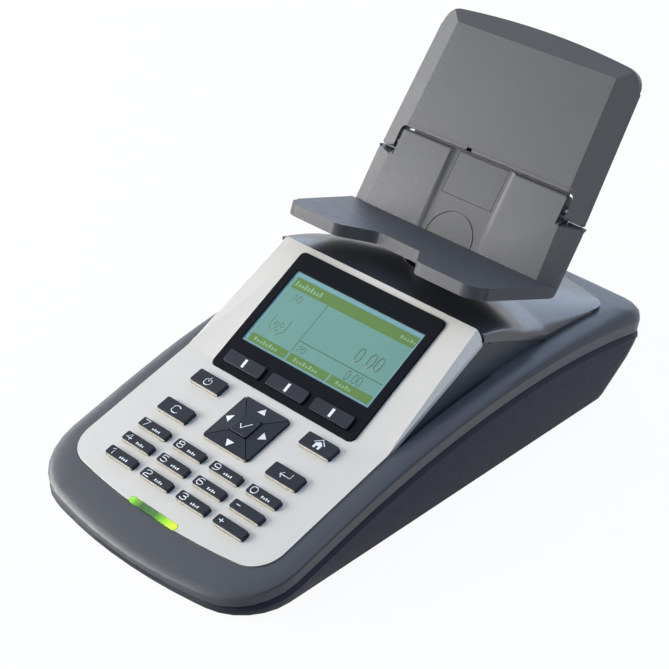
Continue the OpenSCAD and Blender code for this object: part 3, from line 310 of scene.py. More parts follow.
def lcd(name, rgb, glow):
    """Backlit display film with a faint grid of pixels."""
    n = Nodes(name)
    base = linear(rgb)
    cells = n.add("ShaderNodeTexBrick", offset=0, Scale=1000.0, Mortar_Size=0.06, Brick_Width=0.45,
                  Row_Height=0.45, Mortar=shade(base, 0.82))
    place = n.add("ShaderNodeMapping", Rotation=(-DISPLAY_TILT, 0, 0))
    n.join(n.coords, "Object", place, "Vector")
    n.join(place, "Vector", cells, "Vector")
    drift = n.noise(30, 2)
    tint = n.ramp(drift, "Fac", [(0.3, shade(base, 0.95)), (0.7, shade(base, 1.06))])
    n.join(tint, "Color", cells, "Color1")
    n.join(tint, "Color", cells, "Color2")
    n.join(cells, "Color", n.shader, "Base Color")
    n.join(cells, "Color", n.shader, "Emission Color")
    n.set(Roughness=0.25, Emission_Strength=glow, Coat_Weight=0.2, Coat_Roughness=0.1)
    return n.material


PIPE_PAINTED_GLOW = glow_pipe()
LCD_TEAL = lcd("lcd_teal", (104, 152, 142), 0.1)
LCD_EDGE = lcd("lcd_edge", (122, 168, 176), 0.1)
LCD_OLIVE = lcd("lcd_olive", (88, 126, 58), 0.1)
LCD_DARK = lcd("lcd_segments", (52, 84, 54), 0.03)
LCD_PALE = lcd("lcd_pale", (128, 168, 128), 0.1)
LED = plastic("led_body", (226, 240, 206), 0.3, 0.004, 1500, 0.02, 0.02)


# ---------------------------------------------------------------- mesh helpers

WELD, FLAT = 0.004 * MM, math.radians(0.4)


def linked(name, data):
    obj = bpy.data.objects.new(name, data)
    bpy.context.scene.collection.objects.link(obj)
    return obj


def to_mesh(name, bm):
    mesh = bpy.data.meshes.new(name)
    bm.to_mesh(mesh)
    bm.free()
    return mesh


def evaluated(obj):
    """A new mesh of the object with its modifiers applied."""
    graph = bpy.context.evaluated_depsgraph_get()
    return bpy.data.meshes.new_from_object(obj.evaluated_get(graph), depsgraph=graph)


def new_object(name, mesh, body, materials, nodes=()):
    """A visible piece that rides on a body and may stand for CAD nodes."""
    obj = linked(name, mesh)
    for m in materials:
        obj.data.materials.append(m)
    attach(obj, body)
    if nodes:
        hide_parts(*nodes)
    return obj


def settle(obj, sharp=32.0, weighted=True):
    """Applies the modifiers, then shades smoothly with weighted normals and crisp edges."""
    if obj.modifiers:
        obj.data = evaluated(obj)
        obj.modifiers.clear()
    for p in obj.data.polygons:
        p.use_smooth = True
    obj.data.set_sharp_from_angle(angle=math.radians(sharp))
    if weighted:
        m = obj.modifiers.new("normals", "WEIGHTED_NORMAL")
        m.keep_sharp = True
        m.weight = 60
        obj.data = evaluated(obj)
        obj.modifiers.clear()


def cad_copy(node):
    """The node's mesh as a joined bmesh with its flat faces whole."""
    bm = bmesh.new()
    bm.from_mesh(NODE[node].data)
    bmesh.ops.remove_doubles(bm, verts=bm.verts, dist=WELD)
    bmesh.ops.dissolve_degenerate(bm, dist=WELD / 2, edges=bm.edges)
    bmesh.ops.dissolve_limit(bm, angle_limit=FLAT, verts=bm.verts, edges=bm.edges, delimit={"NORMAL"})
    return bm


def dress(node, materials, width=0.3, angle=30.0, segments=2, keep=None, sharp=32.0, choose=None,
          prepare=None, carve=None):
    """A piece that stands for a CAD node: the same form, with its edges rounded and its curves smooth.

    Edges that turn by more than angle are rounded to width, and so are those that keep() picks, if they
    turn at all. carve() and prepare() change the form first, and choose() gives a face's material.
    """
    bm = cad_copy(node)
    if carve:
        rough = solid(node, bm)
        carve(rough)
        bm = bmesh.new()
        bm.from_mesh(rough.data)
        bpy.data.objects.remove(rough)
        bmesh.ops.remove_doubles(bm, verts=bm.verts, dist=WELD)
        bmesh.ops.dissolve_limit(bm, angle_limit=FLAT, verts=bm.verts, edges=bm.edges)
    if prepare:
        prepare(bm)
    weight = bm.edges.layers.float.new("bevel_weight_edge")
    for e in bm.edges:
        if len(e.link_faces) == 2:
            turn = e.calc_face_angle(0)
            if turn > math.radians(angle) or (keep and turn > math.radians(3) and keep(e)):
                e[weight] = 1
    skin = node + "_skin"
    obj = new_object(skin, to_mesh(skin, bm), NODE[node]["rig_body"], materials, (node,))
    b = obj.modifiers.new("edges", "BEVEL")
    b.limit_method = "WEIGHT"
    b.width = width * MM
    b.segments = segments
    b.use_clamp_overlap = True
    b.loop_slide = True
    settle(obj, sharp)
    if choose:
        for p in obj.data.polygons:
            p.material_index = choose(p)


def solid(name, bm):
    bmesh.ops.recalc_face_normals(bm, faces=bm.faces)
    return linked(name, to_mesh(name, bm))


def hull(name, points, place):
    """Solid around (x, u, n) points."""
    bm = bmesh.new()
    verts = [bm.verts.new(place @ (Vector(p) * MM)) for p in points]
    bmesh.ops.convex_hull(bm, input=verts)
    return solid(name, bm)


def prism(name, outline, x0, x1, place):
    """Solid over an outline of (u, n) points between two places along X."""
    bm = bmesh.new()
    ends = [[bm.verts.new(place @ (Vector((x, u, n)) * MM)) for u, n in outline] for x in (x0, x1)]
    bm.faces.new(ends[0])
    bm.faces.new(ends[1][::-1])
    for i in range(len(outline)):
        k = (i + 1) % len(outline)
        bm.faces.new((ends[0][i], ends[0][k], ends[1][k], ends[1][i]))
    return solid(name, bm)


def combine(obj, other, operation):
    """Joins the other solid to the object or cuts it away, and uses it up."""
    m = obj.modifiers.new(operation, "BOOLEAN")
    m.operation = operation
    m.solver = "EXACT"
    m.object = other
    obj.data = evaluated(obj)
    obj.modifiers.clear()
    bpy.data.objects.remove(other)


# ---------------------------------------------------------------- hinge of the flap
# Lengths on the plate: x across, u up the plate from the crease, n out of its front

# Corners (x, u) of the block that raises a shoulder and of the nub at its outer end, and their spans of n
SHOULDER, SHOULDER_N = ((49.6, 24.2), (62.15, 24.2), (62.25, 30.4), (49.6, 30.4)), (-6.35, -3.45)
NUB, NUB_N = ((61.4, 27.6), (62.2, 27.6), (63.2, 30.3), (61.4, 30.3)), (-6.2, -3.6)
# Points (x, u, n) where the block meets the plate's front, sloping down towards the tongue
SHOULDER_FRONT = [(52.5, 24.2, -0.05), (52.3, 27.3, -0.05), (49.6, 24.2, -0.05), (49.6, 26.6, -0.05)]
ARM_X, WELL_X, FOLDED_X = 52.2, 66, 62.1
WELL_GAP, FOLDED_GAP = 0.45, 0.3


def circle(r, start, end, n):
    """Points (u, n) on a circle about the hinge, from one angle to another in degrees."""
    turn = [math.radians(start + (end - start) * i / n) for i in range(n + 1)]
    return [(HINGE_U + r * math.cos(a), -HINGE_N + r * math.sin(a)) for a in turn]


def folded_front(away):
    """What the folded flap takes up in front of a line that far from the hinge."""
    along = Vector((math.cos(FLAP_FOLD), math.sin(FLAP_FOLD)))
    foot = Vector((HINGE_U, -HINGE_N)) + away * Vector((-along.y, along.x))
    low, high = foot - 2 * along, foot + 9 * along
    return [tuple(low), tuple(high), (HINGE_U + 6, high.y), (HINGE_U + 6, low.y)]


def round_arms(obj):
    """The arms of the flap end in knuckles about the hinge."""
    low, behind, wide = HINGE_U - 7, -9, 70
    outline = [(low, 1), (HINGE_U, 1), *circle(HINGE_N, 90, 270, 24), (HINGE_U, behind), (low, behind)]
    combine(obj, prism("cut", outline, -wide, wide, ON_PLATE), "DIFFERENCE")


def shoulders(obj):
    """The shoulders rise to the knuckles of the flap, drop towards the tongue and flare at their ends."""
    for side in (-1, 1):
        for name, plan, heights, more in (("shoulder", SHOULDER, SHOULDER_N, SHOULDER_FRONT),
                                          ("nub", NUB, NUB_N, [])):
            points = [(x, u, n) for x, u in plan for n in heights] + more
            combine(obj, hull(name, [(side * x, u, n) for x, u, n in points], ON_PLATE), "UNION")
        for name, outline, end in (("well", circle(HINGE_N + WELL_GAP, 0, 345, 23), WELL_X),
                                   ("folded", folded_front(HINGE_N + FOLDED_GAP), FOLDED_X)):
            cut = prism(name, outline, *sorted((side * ARM_X, side * end)), ON_PLATE)
            combine(obj, cut, "DIFFERENCE")


# ---------------------------------------------------------------- case, hopper and inner pieces

def paint(material, *names):
    """Gives CAD nodes that are shown as they are a material."""
    for name in names:
        obj = NODE[name]
        obj.data.materials.clear()
        obj.data.materials.append(material)
        for p in obj.data.polygons:
            p.material_index = 0


def on_crease(e):
    """Whether the edge lies on the case's crease, more loosely along its sides than at its ends."""
    return all(abs(v.co.z / MM - crease_z(v.co.y / MM)) < (0.12 if abs(v.co.x) > 20 * MM else 0.05)
               for v in e.verts)


dress("upper_case", [BODY], 0.35, 30, keep=on_crease, sharp=30)
dress("lower_case", [BODY_PAINTED_SHADE], 0.25, 32)
dress("fascia", [FASCIA], 0.22, 20, sharp=24)
dress("display_window", [WINDOW], 0.3, 32)
dress("hopper", [HOPPER], 0.45, 28, sharp=30, carve=shoulders)
dress("flap", [HOPPER], 0.45, 16, sharp=26, carve=round_arms)
dress("hopper_tab", [HOPPER], 0.15, 30)
dress("battery_cover", [BODY_PAINTED_SHADE], 0.25, 30)
dress("light_pipe", [PIPE_PAINTED_GLOW], 0.25, 30)
dress("feet", [RUBBER], 0.3, 30)
dress("load_post", [ALLOY], 0.4, 30)
dress("load_cell", [ALLOY], 0.25, 30)

paint(STEEL, "case_screws", "load_cell_screws", "post_screw", "keypad_screws", "display_screws",
      "main_board_screws", "hinge_pins")
paint(ALLOY, "load_cell_spacer", "lcd_frame")
paint(GREEN_BOARD, "keypad_board", "display_board", "main_board")
paint(SILICONE, "key_mat", "softkey_mat")
paint(CONNECTOR, "power_inlet", "data_port", "buzzer")
paint(CABLE, "ribbon_cable")
paint(BATTERY, "battery_pack")
paint(LED, "status_leds")

# ---------------------------------------------------------------- saddle cover

DISPLAY_TOP = (FOLD_Y + DISPLAY_L * math.cos(DISPLAY_TILT), FOLD_Z + DISPLAY_L * math.sin(DISPLAY_TILT))
SADDLE_HW = BODY_W / 2 - SADDLE_INSET
SADDLE_Y0, SADDLE_Y1 = DISPLAY_TOP[0] + 0.4, Y_REAR - 16.5
SADDLE_FOOT = WELL_Y + 5
SADDLE_Z0 = DISPLAY_TOP[1] - 3.9 * math.cos(DISPLAY_TILT)
RIM_R, WALL_T, WALL_SINK = 0.9, 2, 1.4
# How far from the edge of the well the quads stop, the rings of its lip stand and the triangles reach
QUADS_FROM, RINGS, TRIANGLES_TO = 2.6, (0, 0.12, 0.35, 0.65, 0.9, 1.7), 8


def saddle_edge(y):
    """Height of the saddle's side edge, which rises towards the display."""
    rise = 0 if y >= SADDLE_FOOT else (SADDLE_FOOT - y) / (SADDLE_FOOT - SADDLE_Y0)
    return rim_z(y) + SADDLE_T + (SADDLE_Z0 - rim_z(SADDLE_Y0) - SADDLE_T) * rise


def saddle_ridge(y):
    """Height of the saddle along its middle."""
    length, d = SADDLE_Y1 - SADDLE_Y0, y - SADDLE_Y0
    fall = saddle_edge(SADDLE_Y1) - DISPLAY_TOP[1]
    return DISPLAY_TOP[1] - 0.1 * d + (fall + 0.1 * length) * (d / length) ** 2


def saddle_rear(x):
    """Place of the bowed rear edge, with its round corners."""
    c = max(0, abs(x) - SADDLE_HW + SADDLE_CORNER)
    return SADDLE_Y1 - x * x / 360 - SADDLE_CORNER + math.sqrt(max(0, SADDLE_CORNER ** 2 - c * c))


def saddle_z(x, y):
    """Height of the crowned surface, squarer in section near the display."""
    t = (y - SADDLE_Y0) / (saddle_rear(x) - SADDLE_Y0)
    p = 2 + 3 * max(0, 1 - 3 * t)
    crown = (1 - min(1, abs(x) / SADDLE_HW) ** p) ** (1 / p)
    edge = saddle_edge(y)
    return edge + (saddle_ridge(SADDLE_Y0 + t * (SADDLE_Y1 - SADDLE_Y0)) - edge) * crown


def saddle_mesh():
    """The saddle's surface as a fine net with a round hole whose rim is rounded, and its underside."""
    rows, cols, turns = 44, 72, 72
    # whole quads away from the well
    grid = {}
    points = []
    for i in range(rows + 1):
        for j in range(cols + 1):
            x = SADDLE_HW * math.sin(math.radians(-90 + 180 * j / cols))
            y = SADDLE_Y0 + i / rows * (saddle_rear(x) - SADDLE_Y0)
            if math.hypot(x, y - WELL_Y) > WELL_R + QUADS_FROM or i in (0, rows) or j in (0, cols):
                grid[i, j] = len(points)
                points.append((x, y))
    cells = {}
    for i in range(rows):
        for j in range(cols):
            corners = [(i, j), (i, j + 1), (i + 1, j + 1), (i + 1, j)]
            if all(c in grid for c in corners):
                cells[i, j] = [grid[c] for c in corners]
    # rings about the well, and triangles between them and the quads
    sides = Counter(frozenset((q[k], q[(k + 1) % 4])) for q in cells.values() for k in range(4))
    hole = list(range(len(points), len(points) + turns))
    for step in RINGS:
        for k in range(turns):
            a = math.tau * k / turns
            r = WELL_R + step
            points.append((r * math.cos(a), WELL_Y + r * math.sin(a)))
    flat = [Vector(q) for q in points]
    edges = [tuple(side) for side, uses in sides.items() if uses == 1]
    edges += [(hole[k], hole[(k + 1) % turns]) for k in range(turns)]
    out, _, faces, origin, *_ = geometry.delaunay_2d_cdt(flat, edges, [], 0, 1e-4)
    place = {old: new for new, group in enumerate(origin) for old in group}
    loops = [[place[k] for k in q] for q in cells.values()]
    for f in faces:
        c = sum((out[k] for k in f), Vector((0, 0))) / len(f)
        i = math.floor((c.y - SADDLE_Y0) / (saddle_rear(c.x) - SADDLE_Y0) * rows)
        j = math.floor((math.degrees(math.asin(max(-1, min(1, c.x / SADDLE_HW)))) + 90) / 180 * cols)
        out_by = math.hypot(c.x, c.y - WELL_Y) - WELL_R
        if (i, j) not in cells and -0.001 < out_by < TRIANGLES_TO:
            loops.append(list(f))
    # top and underside, the lip of the well rounded, and the wall round the edges
    bm = bmesh.new()
    layers = []
    for drop in (0, SADDLE_T):
        row = []
        for q in out:
            short = max(0, WELL_R + RIM_R - math.hypot(q.x, q.y - WELL_Y))
            dip = RIM_R - math.sqrt(max(0, RIM_R ** 2 - short ** 2))
            row.append(bm.verts.new(Vector((q.x, q.y, saddle_z(q.x, q.y) - dip - drop)) * MM))
        layers.append(row)
    top, low = layers
    for f in loops:
        bm.faces.new([top[k] for k in f])
        bm.faces.new([low[k] for k in reversed(f)])
    n = len(top)
    bm.verts.index_update()
    bm.verts.ensure_lookup_table()
    for e in [e for e in bm.edges if e.is_boundary and max(v.index for v in e.verts) < n]:
        a, b = e.verts
        bm.faces.new((a, b, bm.verts[b.index + n], bm.verts[a.index + n]))
    # wall of the well, from inside the shell down to the rim
    rings = []
    for r, low_end in ((WELL_R, False), (WELL_R, True), (WELL_R + WALL_T, True), (WELL_R + WALL_T, False)):
        loop = []
        for k in range(turns):
            a = math.tau * k / turns
            x, y = r * math.cos(a), WELL_Y + r * math.sin(a)
            z = rim_z(RIM_PEAK) if low_end else saddle_z(x, y) - WALL_SINK
            loop.append(bm.verts.new(Vector((x, y, z)) * MM))
        rings.append(loop)
    for a, b in zip(rings, rings[1:] + rings[:1]):
        for k in range(turns):
            bm.faces.new((a[k], a[(k + 1) % turns], b[(k + 1) % turns], b[k]))
    bmesh.ops.recalc_face_normals(bm, faces=bm.faces)
    return to_mesh("saddle_skin", bm)


saddle = new_object("saddle_skin", saddle_mesh(), NODE["saddle_cover"]["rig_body"], [SADDLE],
                    ("saddle_cover",))
settle(saddle, 50, weighted=False)

# ---------------------------------------------------------------- keys and their legends

# Signs as lines in a box one high; a digit is 0.7 wide
GLYPHS = {
    "0": [[(0, .25), (0, .75), (.2, 1), (.5, 1), (.7, .75), (.7, .25), (.5, 0), (.2, 0), (0, .25)]],
    "1": [[(.12, .74), (.4, 1), (.4, 0)]],
    "2": [[(0, .78), (.2, 1), (.5, 1), (.7, .82), (.7, .62), (.52, .46), (.2, .42), (0, .25), (0, 0),
           (.7, 0)]],
    "3": [[(0, .85), (.2, 1), (.5, 1), (.7, .82), (.7, .68), (.52, .52), (.25, .52)],
          [(.52, .52), (.7, .36), (.7, .2), (.5, 0), (.2, 0), (0, .15)]],
    "4": [[(.5, 0), (.5, 1), (0, .34), (.72, .34)]],
    "5": [[(.68, 1), (.05, 1), (0, .58), (.48, .58), (.7, .42), (.7, .18), (.5, 0), (.2, 0), (0, .14)]],
    "6": [[(.66, 1), (.25, 1), (0, .75), (0, .22), (.2, 0), (.5, 0), (.7, .2), (.7, .4), (.5, .57),
           (.02, .57)]],
    "7": [[(0, 1), (.7, 1), (.28, 0)]],
    "8": [[(.2, .53), (.03, .68), (.03, .84), (.2, 1), (.5, 1), (.67, .84), (.67, .68), (.5, .53), (.2, .53),
           (0, .36), (0, .18), (.2, 0), (.5, 0), (.7, .18), (.7, .36), (.5, .53)]],
    "9": [[(.05, 0), (.45, 0), (.7, .25), (.7, .78), (.5, 1), (.2, 1), (0, .8), (0, .6), (.2, .43),
           (.68, .43)]],
    "+": [[(.35, .12), (.35, .88)], [(-.03, .5), (.73, .5)]],
    "-": [[(0, .5), (.7, .5)]],
    ".": [[(.28, .02), (.4, .02)]],
    "C": [[(.7, .82), (.5, 1), (.2, 1), (0, .78), (0, .22), (.2, 0), (.5, 0), (.7, .18)]],
    "power": [[(.2, .82), (0, .62), (0, .2), (.2, 0), (.6, 0), (.8, .2), (.8, .62), (.6, .82)],
              [(.4, 1.1), (.4, .5)]],
    "enter": [[(1.25, 1), (1.25, .42), (0, .42)], [(.34, .78), (0, .42), (.34, .06)]],
    "tick": [[(0, .46), (.36, .06), (1.06, .98)]],
    "roof": [[(-.12, .5), (.5, 1.05), (1.12, .5)]],
    "cup": [[(0, 1), (0, .3), (.3, 0), (.7, 0), (1, .3), (1, 1)]],
    "ring": [[(0.5 + 0.5 * math.cos(a * math.pi / 6), 0.5 + 0.5 * math.sin(a * math.pi / 6))
              for a in range(13)]],
}


def stroke_mesh(name, marks, place, lift, radius, wide=1.0):
    """Round strokes sunk into a surface, so that only a thin raised line of each shows."""
    curve = bpy.data.curves.new(name, "CURVE")
    curve.dimensions = "3D"
    curve.bevel_depth = radius * MM
    curve.bevel_resolution = 2
    curve.use_fill_caps = True
    for glyph, at, size in marks:
        for line in GLYPHS[glyph]:
            spline = curve.splines.new("POLY")
            spline.points.add(len(line) - 1)
            for p, (x, y) in zip(spline.points, line):
                local = Vector((at[0] + x * wide * size, at[1] + (y - 0.5) * size, lift)) * MM
                p.co = (*(place @ local), 1)
    obj = linked(name, curve)
    mesh = evaluated(obj)
    bpy.data.objects.remove(obj)
    for p in mesh.polygons:
        p.use_smooth = True
    return mesh


def flat_mesh(name, shapes, place, sink, lift, surface=lambda x: 0):
    """Thin plates from outlines [(x, y), ...], from sink to lift over a surface of height surface(x)."""
    bm = bmesh.new()
    for shape in shapes:
        bottom, top = ([bm.verts.new(place @ (Vector((x, y, surface(x) + z)) * MM)) for x, y in shape]
                       for z in (sink, lift))
        n = len(shape)
        bm.faces.new(top)
        bm.faces.new(bottom[::-1])
        for i in range(n):
            bm.faces.new((bottom[i], bottom[(i + 1) % n], top[(i + 1) % n], top[i]))
    bmesh.ops.recalc_face_normals(bm, faces=bm.faces)
    return to_mesh(name, bm)


def box(x0, y0, x1, y1):
    return [(x0, y0), (x1, y0), (x1, y1), (x0, y1)]


def stroke_legend(key, ending, mark, place, lift, radius, wide=1.0):
    name = key + ending
    new_object(name, stroke_mesh(name, [mark], place, lift, radius, wide), key, [INK])


def flat_legend(key, ending, shapes, place, sink, lift, surface=lambda x: 0):
    name = key + ending
    new_object(name, flat_mesh(name, shapes, place, sink, lift, surface), key, [INK])


def key_skin(node, place, rise, width=0.28, front_highlight=True):
    """A key with a dark cap, and a pale painted highlight on its front faces below the cap."""
    split, foot = rise - 0.62, -1.2
    inverse = place.inverted()

    def prepare(bm):
        bmesh.ops.bisect_plane(bm, geom=bm.verts[:] + bm.edges[:] + bm.faces[:],
                               plane_co=place @ (Vector((0, 0, split)) * MM),
                               plane_no=place.to_3x3() @ Vector((0, 0, 1)))

    def choose(p):
        # faces turned to the front, between the foot and the cap's lower edge, get the pale colour: a painted
        # highlight
        faces_front = (inverse.to_3x3() @ p.normal).y < -0.8
        return 1 if front_highlight and faces_front and foot < (inverse @ p.center).z / MM < split else 0

    dress(node, [CAP, KEY_FRONT_PAINTED_HIGHLIGHT], width, 30, 3, sharp=34, choose=choose, prepare=prepare)


def key_place(column, v):
    return (column - 1.5) * PITCH_X, v


PLACES = {f"key_{d}": key_place((d - 1) % 3, ROW_1 + PITCH_Y * ((d - 1) // 3)) for d in range(1, 10)}
PLACES["key_0"] = key_place(3, ROW_1 + 2 * PITCH_Y)
PLACES["key_plus"] = key_place(3, ROW_1)
PLACES["key_minus"] = key_place(3, ROW_1 + PITCH_Y)
PLACES["key_clear"] = key_place(0, FUNCTION_V)
PLACES["key_end"] = key_place(3, FUNCTION_V)
PLACES["key_power"] = key_place(0, POWER_V)
PLACES["key_home"] = key_place(3, POWER_V)
INK_R, INK_SINK = 0.3, 0.18
PLATE_SINK, PLATE_LIFT, SIGN_LIFT = -0.05, 0.02, 0.03
# Sign of a key, its place from the key's middle, its size and how far it is widened
LEGENDS = {"plus": ("+", -6.6, 0, 3.0, 1.2), "minus": ("-", -6.4, 0.2, 2.8, 1.2),
           "clear": ("C", -1.9, 0, 4.2, 1.35), "end": ("enter", -2.7, 0, 4.4, 1.05),
           "power": ("power", -1.9, -0.3, 4.3, 1.1), "home": ("roof", -2.4, 0.5, 4.9, 1.0)}

for name, (x, v) in PLACES.items():
    key_skin(name, ON_KEYS, KEY_RISE)
    label = name[4:]
    glyph, dx, dv, size, wide = LEGENDS.get(label, (label, -7.2, 0, 3.3, 1.45))
    mark = (glyph, (x + dx, v + dv), size)
    stroke_legend(name, "_legend", mark, ON_KEYS, KEY_RISE - INK_SINK, INK_R, wide)
    if label.isdigit():
        # four small bars where the photograph has letters
        bars = []
        at = x - 0.2
        for k in range(4):
            high = 1.25 if (k + int(label)) % 2 == 0 else 0.9
            bars.append(box(at, v - 1.5, at + 0.75, v - 1.5 + high))
            at += 1.3
        flat_legend(name, "_marks", bars, ON_KEYS, KEY_RISE + PLATE_SINK, KEY_RISE + PLATE_LIFT)

x, v = PLACES["key_home"]
house = [(x + a, v + b) for a, b in ((-1.9, -2.3), (-0.65, -2.3), (-0.65, -0.8), (0.65, -0.8), (0.65, -2.3),
                                     (1.9, -2.3), (1.9, 0.3), (0, 1.8), (-1.9, 0.3))]
flat_legend("key_home", "_house", [house], ON_KEYS, KEY_RISE + PLATE_SINK, KEY_RISE + SIGN_LIFT)

NAV = ON_KEYS @ Matrix.Translation((0, NAV_V * MM, 0))
ARROW_X0 = OK_W / 2 + 0.35
TRIANGLE = [(12.9, 0), (9.5, 2.3), (9.5, -2.3)]
for i, name in enumerate(("key_right", "key_up", "key_left", "key_down")):
    key_skin(name, ON_KEYS, ARROW_RISE, 0.25, front_highlight=name == "key_down")
    turn = Matrix.Rotation(math.radians(90 * i), 4, "Z")
    flat_legend(name, "_arrow", [TRIANGLE], NAV @ turn, -0.1, SIGN_LIFT,
                lambda x: KEY_RISE - (x - ARROW_X0) * ARROW_FALL)
key_skin("key_ok", ON_KEYS, OK_RISE, 0.3, front_highlight=False)
stroke_legend("key_ok", "_legend", ("tick", (-2.6, 0), 4.8), NAV, OK_RISE - INK_SINK, 0.32)
for i in range(3):
    name = f"softkey_{i + 1}"
    key_skin(name, ON_DISPLAY, SOFT_RISE, 0.3, front_highlight=False)
    x, half_w, half_h = (i - 1) * SOFT_PITCH, 0.75, 2.2
    flat_legend(name, "_bar", [box(x - half_w, SOFT_V - half_h, x + half_w, SOFT_V + half_h)], ON_DISPLAY,
                SOFT_RISE - 0.1, SOFT_RISE + SIGN_LIFT)

# ---------------------------------------------------------------- LCD

LCD_Z = 0.2


def lcd_xy(s, t):
    """Place on the display from shares of the LCD's width and height, from its top left."""
    return -LCD_W / 2 + s * LCD_W, LCD_W0 + LCD_L - t * LCD_L


def lcd_box(s0, t0, s1, t1):
    return box(*lcd_xy(s0, t1), *lcd_xy(s1, t0))


def lcd_piece(name, shapes, material, lift):
    new_object(name, flat_mesh(name, shapes, ON_DISPLAY, LCD_Z - 0.02, LCD_Z + lift), "case", [material])


def lcd_marks(name, marks, radius, sink, wide=1.0):
    mesh = stroke_mesh(name, marks, ON_DISPLAY, LCD_Z + 0.02 - sink, radius, wide)
    new_object(name, mesh, "case", [LCD_DARK])


def lcd_text(name, text, s, t, size, radius, pitch=0.62, wide=0.6):
    x, y = lcd_xy(s, t)
    marks = []
    for ch in text:
        marks.append((ch, (x, y), size))
        x += size * (0.36 if ch == "." else pitch)
    lcd_marks(name, marks, radius, radius * 0.7, wide)


new_object("lcd_face", flat_mesh("lcd_face", [lcd_box(0, 0, 1, 1)], ON_DISPLAY, -1.9, LCD_Z), "case",
           [LCD_EDGE], ("lcd_panel",))
lcd_piece("lcd_field", [lcd_box(0.022, 0.045, 0.985, 0.975)], LCD_TEAL, 0.01)
lcd_piece("lcd_bars", [lcd_box(0.035, 0.06, 0.985, 0.2), lcd_box(0.035, 0.865, 0.33, 0.97),
                       lcd_box(0.345, 0.865, 0.65, 0.97), lcd_box(0.665, 0.865, 0.98, 0.97)], LCD_OLIVE, 0.02)
lcd_piece("lcd_lines", [lcd_box(0.335, 0.2, 0.339, 0.85), lcd_box(0.339, 0.70, 0.98, 0.709)], LCD_DARK, 0.03)
lcd_text("lcd_amount", "0.00", 0.715, 0.53, 7.2, 0.36)
lcd_text("lcd_total", "0.00", 0.74, 0.79, 4.6, 0.27)
lcd_text("lcd_count", "10", 0.10, 0.29, 3.6, 0.26, 0.8, 0.8)
lcd_text("lcd_rows", "20", 0.365, 0.79, 3.0, 0.25, 0.8, 0.8)
x, y = lcd_xy(0.09, 0.66)
coins = [("ring", (x + a, y + b), 2.1) for a, b in ((2, 0.2), (5.2, 0.6), (3.6, -2.3))]
lcd_marks("lcd_icon", [("cup", (x, y), 9.5), *coins], 0.24, 0.16)
# rows of dashes where the photograph has words: place, number and height of each row
dashes = []
for s, t, n, high in ((0.05, 0.13, 9, 0.034), (0.87, 0.13, 5, 0.02), (0.07, 0.918, 8, 0.024),
                      (0.39, 0.918, 8, 0.024), (0.72, 0.918, 5, 0.024)):
    for k in range(n):
        up = high * (1.0, 0.6, 0.6, 1.0, 0.6)[k % 5]
        left = s + k * 0.024
        dashes.append(lcd_box(left, t + high - 2 * up, left + 0.015, t + high))
lcd_piece("lcd_dashes", dashes, LCD_PALE, 0.03)

# ---------------------------------------------------------------- stage, light and camera

def shown_white(tree, dim, white, most=1.0):
    """Mixes two shaders: up to most white for rays that show the background, dim for those that light."""
    rays = tree.nodes.new("ShaderNodeLightPath")
    share = rays.outputs["Is Camera Ray"]
    for kind in ("Is Glossy Ray", "Is Transmission Ray"):
        either = tree.nodes.new("ShaderNodeMath")
        either.operation = "MAXIMUM"
        tree.links.new(share, either.inputs[0])
        tree.links.new(rays.outputs[kind], either.inputs[1])
        share = either.outputs[0]
    part = tree.nodes.new("ShaderNodeMath")
    part.operation = "MULTIPLY"
    part.inputs[1].default_value = most
    tree.links.new(share, part.inputs[0])
    mix = tree.nodes.new("ShaderNodeMixShader")
    tree.links.new(part.outputs[0], mix.inputs[0])
    tree.links.new(dim.outputs[0], mix.inputs[1])
    tree.links.new(white.outputs[0], mix.inputs[2])
    return mix.outputs[0]


def make_floor():
    bm = bmesh.new()
    bmesh.ops.create_grid(bm, x_segments=8, y_segments=8, size=4)
    floor = linked("floor", to_mesh("floor", bm))
    material = bpy.data.materials.new("floor_white")
    material.use_nodes = True
    tree = material.node_tree
    tree.nodes.clear()
    out = tree.nodes.new("ShaderNodeOutputMaterial")
    diffuse = tree.nodes.new("ShaderNodeBsdfDiffuse")
    diffuse.inputs["Color"].default_value = (0.36, 0.41, 0.5, 1)
    glow = tree.nodes.new("ShaderNodeEmission")
    glow.inputs["Strength"].default_value = 1.1
    # a share of the diffuse floor is left, for the part's shadow on it
    tree.links.new(shown_white(tree, diffuse, glow, 0.86), out.inputs["Surface"])
    floor.data.materials.append(material)


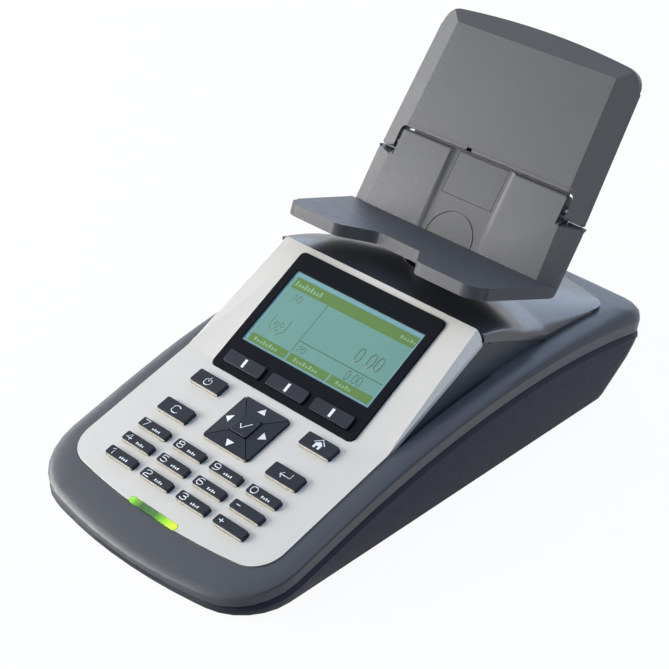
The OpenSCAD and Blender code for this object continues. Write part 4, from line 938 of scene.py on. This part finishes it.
def make_world():
    world = bpy.data.worlds.new("studio")
    bpy.context.scene.world = world
    world.use_nodes = True
    tree = world.node_tree
    tree.nodes.clear()
    out = tree.nodes.new("ShaderNodeOutputWorld")
    white = tree.nodes.new("ShaderNodeBackground")
    white.inputs["Color"].default_value = (1, 1, 1, 1)
    dim = tree.nodes.new("ShaderNodeBackground")
    coords = tree.nodes.new("ShaderNodeTexCoord")
    split = tree.nodes.new("ShaderNodeSeparateXYZ")
    ramp = tree.nodes.new("ShaderNodeValToRGB")
    tree.links.new(coords.outputs["Generated"], split.inputs[0])
    tree.links.new(split.outputs["Z"], ramp.inputs[0])
    low, high = ramp.color_ramp.elements
    low.position, low.color = 0.0, (0.05, 0.06, 0.08, 1)
    high.position, high.color = 0.75, (0.03, 0.04, 0.05, 1)
    tree.links.new(ramp.outputs[0], dim.inputs["Color"])
    tree.links.new(shown_white(tree, dim, white), out.inputs["Surface"])


def lamp(name, at, target, size, power, colour=(1, 1, 1), diffuse=True):
    """A rectangular lamp aimed at a point; without diffuse it only adds gloss."""
    data = bpy.data.lights.new(name, "AREA")
    data.shape = "RECTANGLE"
    data.size, data.size_y = size
    data.energy = power
    data.color = colour
    obj = linked(name, data)
    obj.location = at
    obj.rotation_euler = (Vector(target) - Vector(at)).to_track_quat("-Z", "Y").to_euler()
    obj.visible_diffuse = diffuse


make_floor()
make_world()
WARM, SKY = (1.0, 0.985, 0.96), (0.55, 0.72, 1.0)
lamp("key", (-1.12, -0.85, 0.46), (0, 0, 0.06), (1.0, 0.7), 34, WARM)
lamp("left", (-1.35, -0.02, 0.42), (0, 0, 0.04), (0.9, 0.5), 5, diffuse=False)
lamp("back", (-0.42, 1.18, 0.68), (0, 0, 0.05), (1.8, 0.9), 12, SKY)
lamp("over", (0.35, 0.4, 1.2), (0, 0, 0.05), (1.6, 1.4), 11, SKY)
lamp("low", (-0.95, -1.32, 0.15), (0, 0, 0.08), (0.9, 0.24), 2.4, diffuse=False)

# camera solved from the photograph's straight lines
AZ, EL = math.radians(44.49), math.radians(32.4)
camera = linked("camera", bpy.data.cameras.new("camera"))
camera.data.lens = 94.98
camera.data.sensor_width = 36
camera.data.clip_end = 20
camera.location = Vector((470.7, -487.0, 482.4)) * MM
look = Vector((-math.sin(AZ) * math.cos(EL), math.cos(AZ) * math.cos(EL), -math.sin(EL)))
camera.rotation_euler = look.to_track_quat("-Z", "Y").to_euler()
bpy.context.scene.camera = camera
bpy.context.scene.view_settings.view_transform = "Standard"
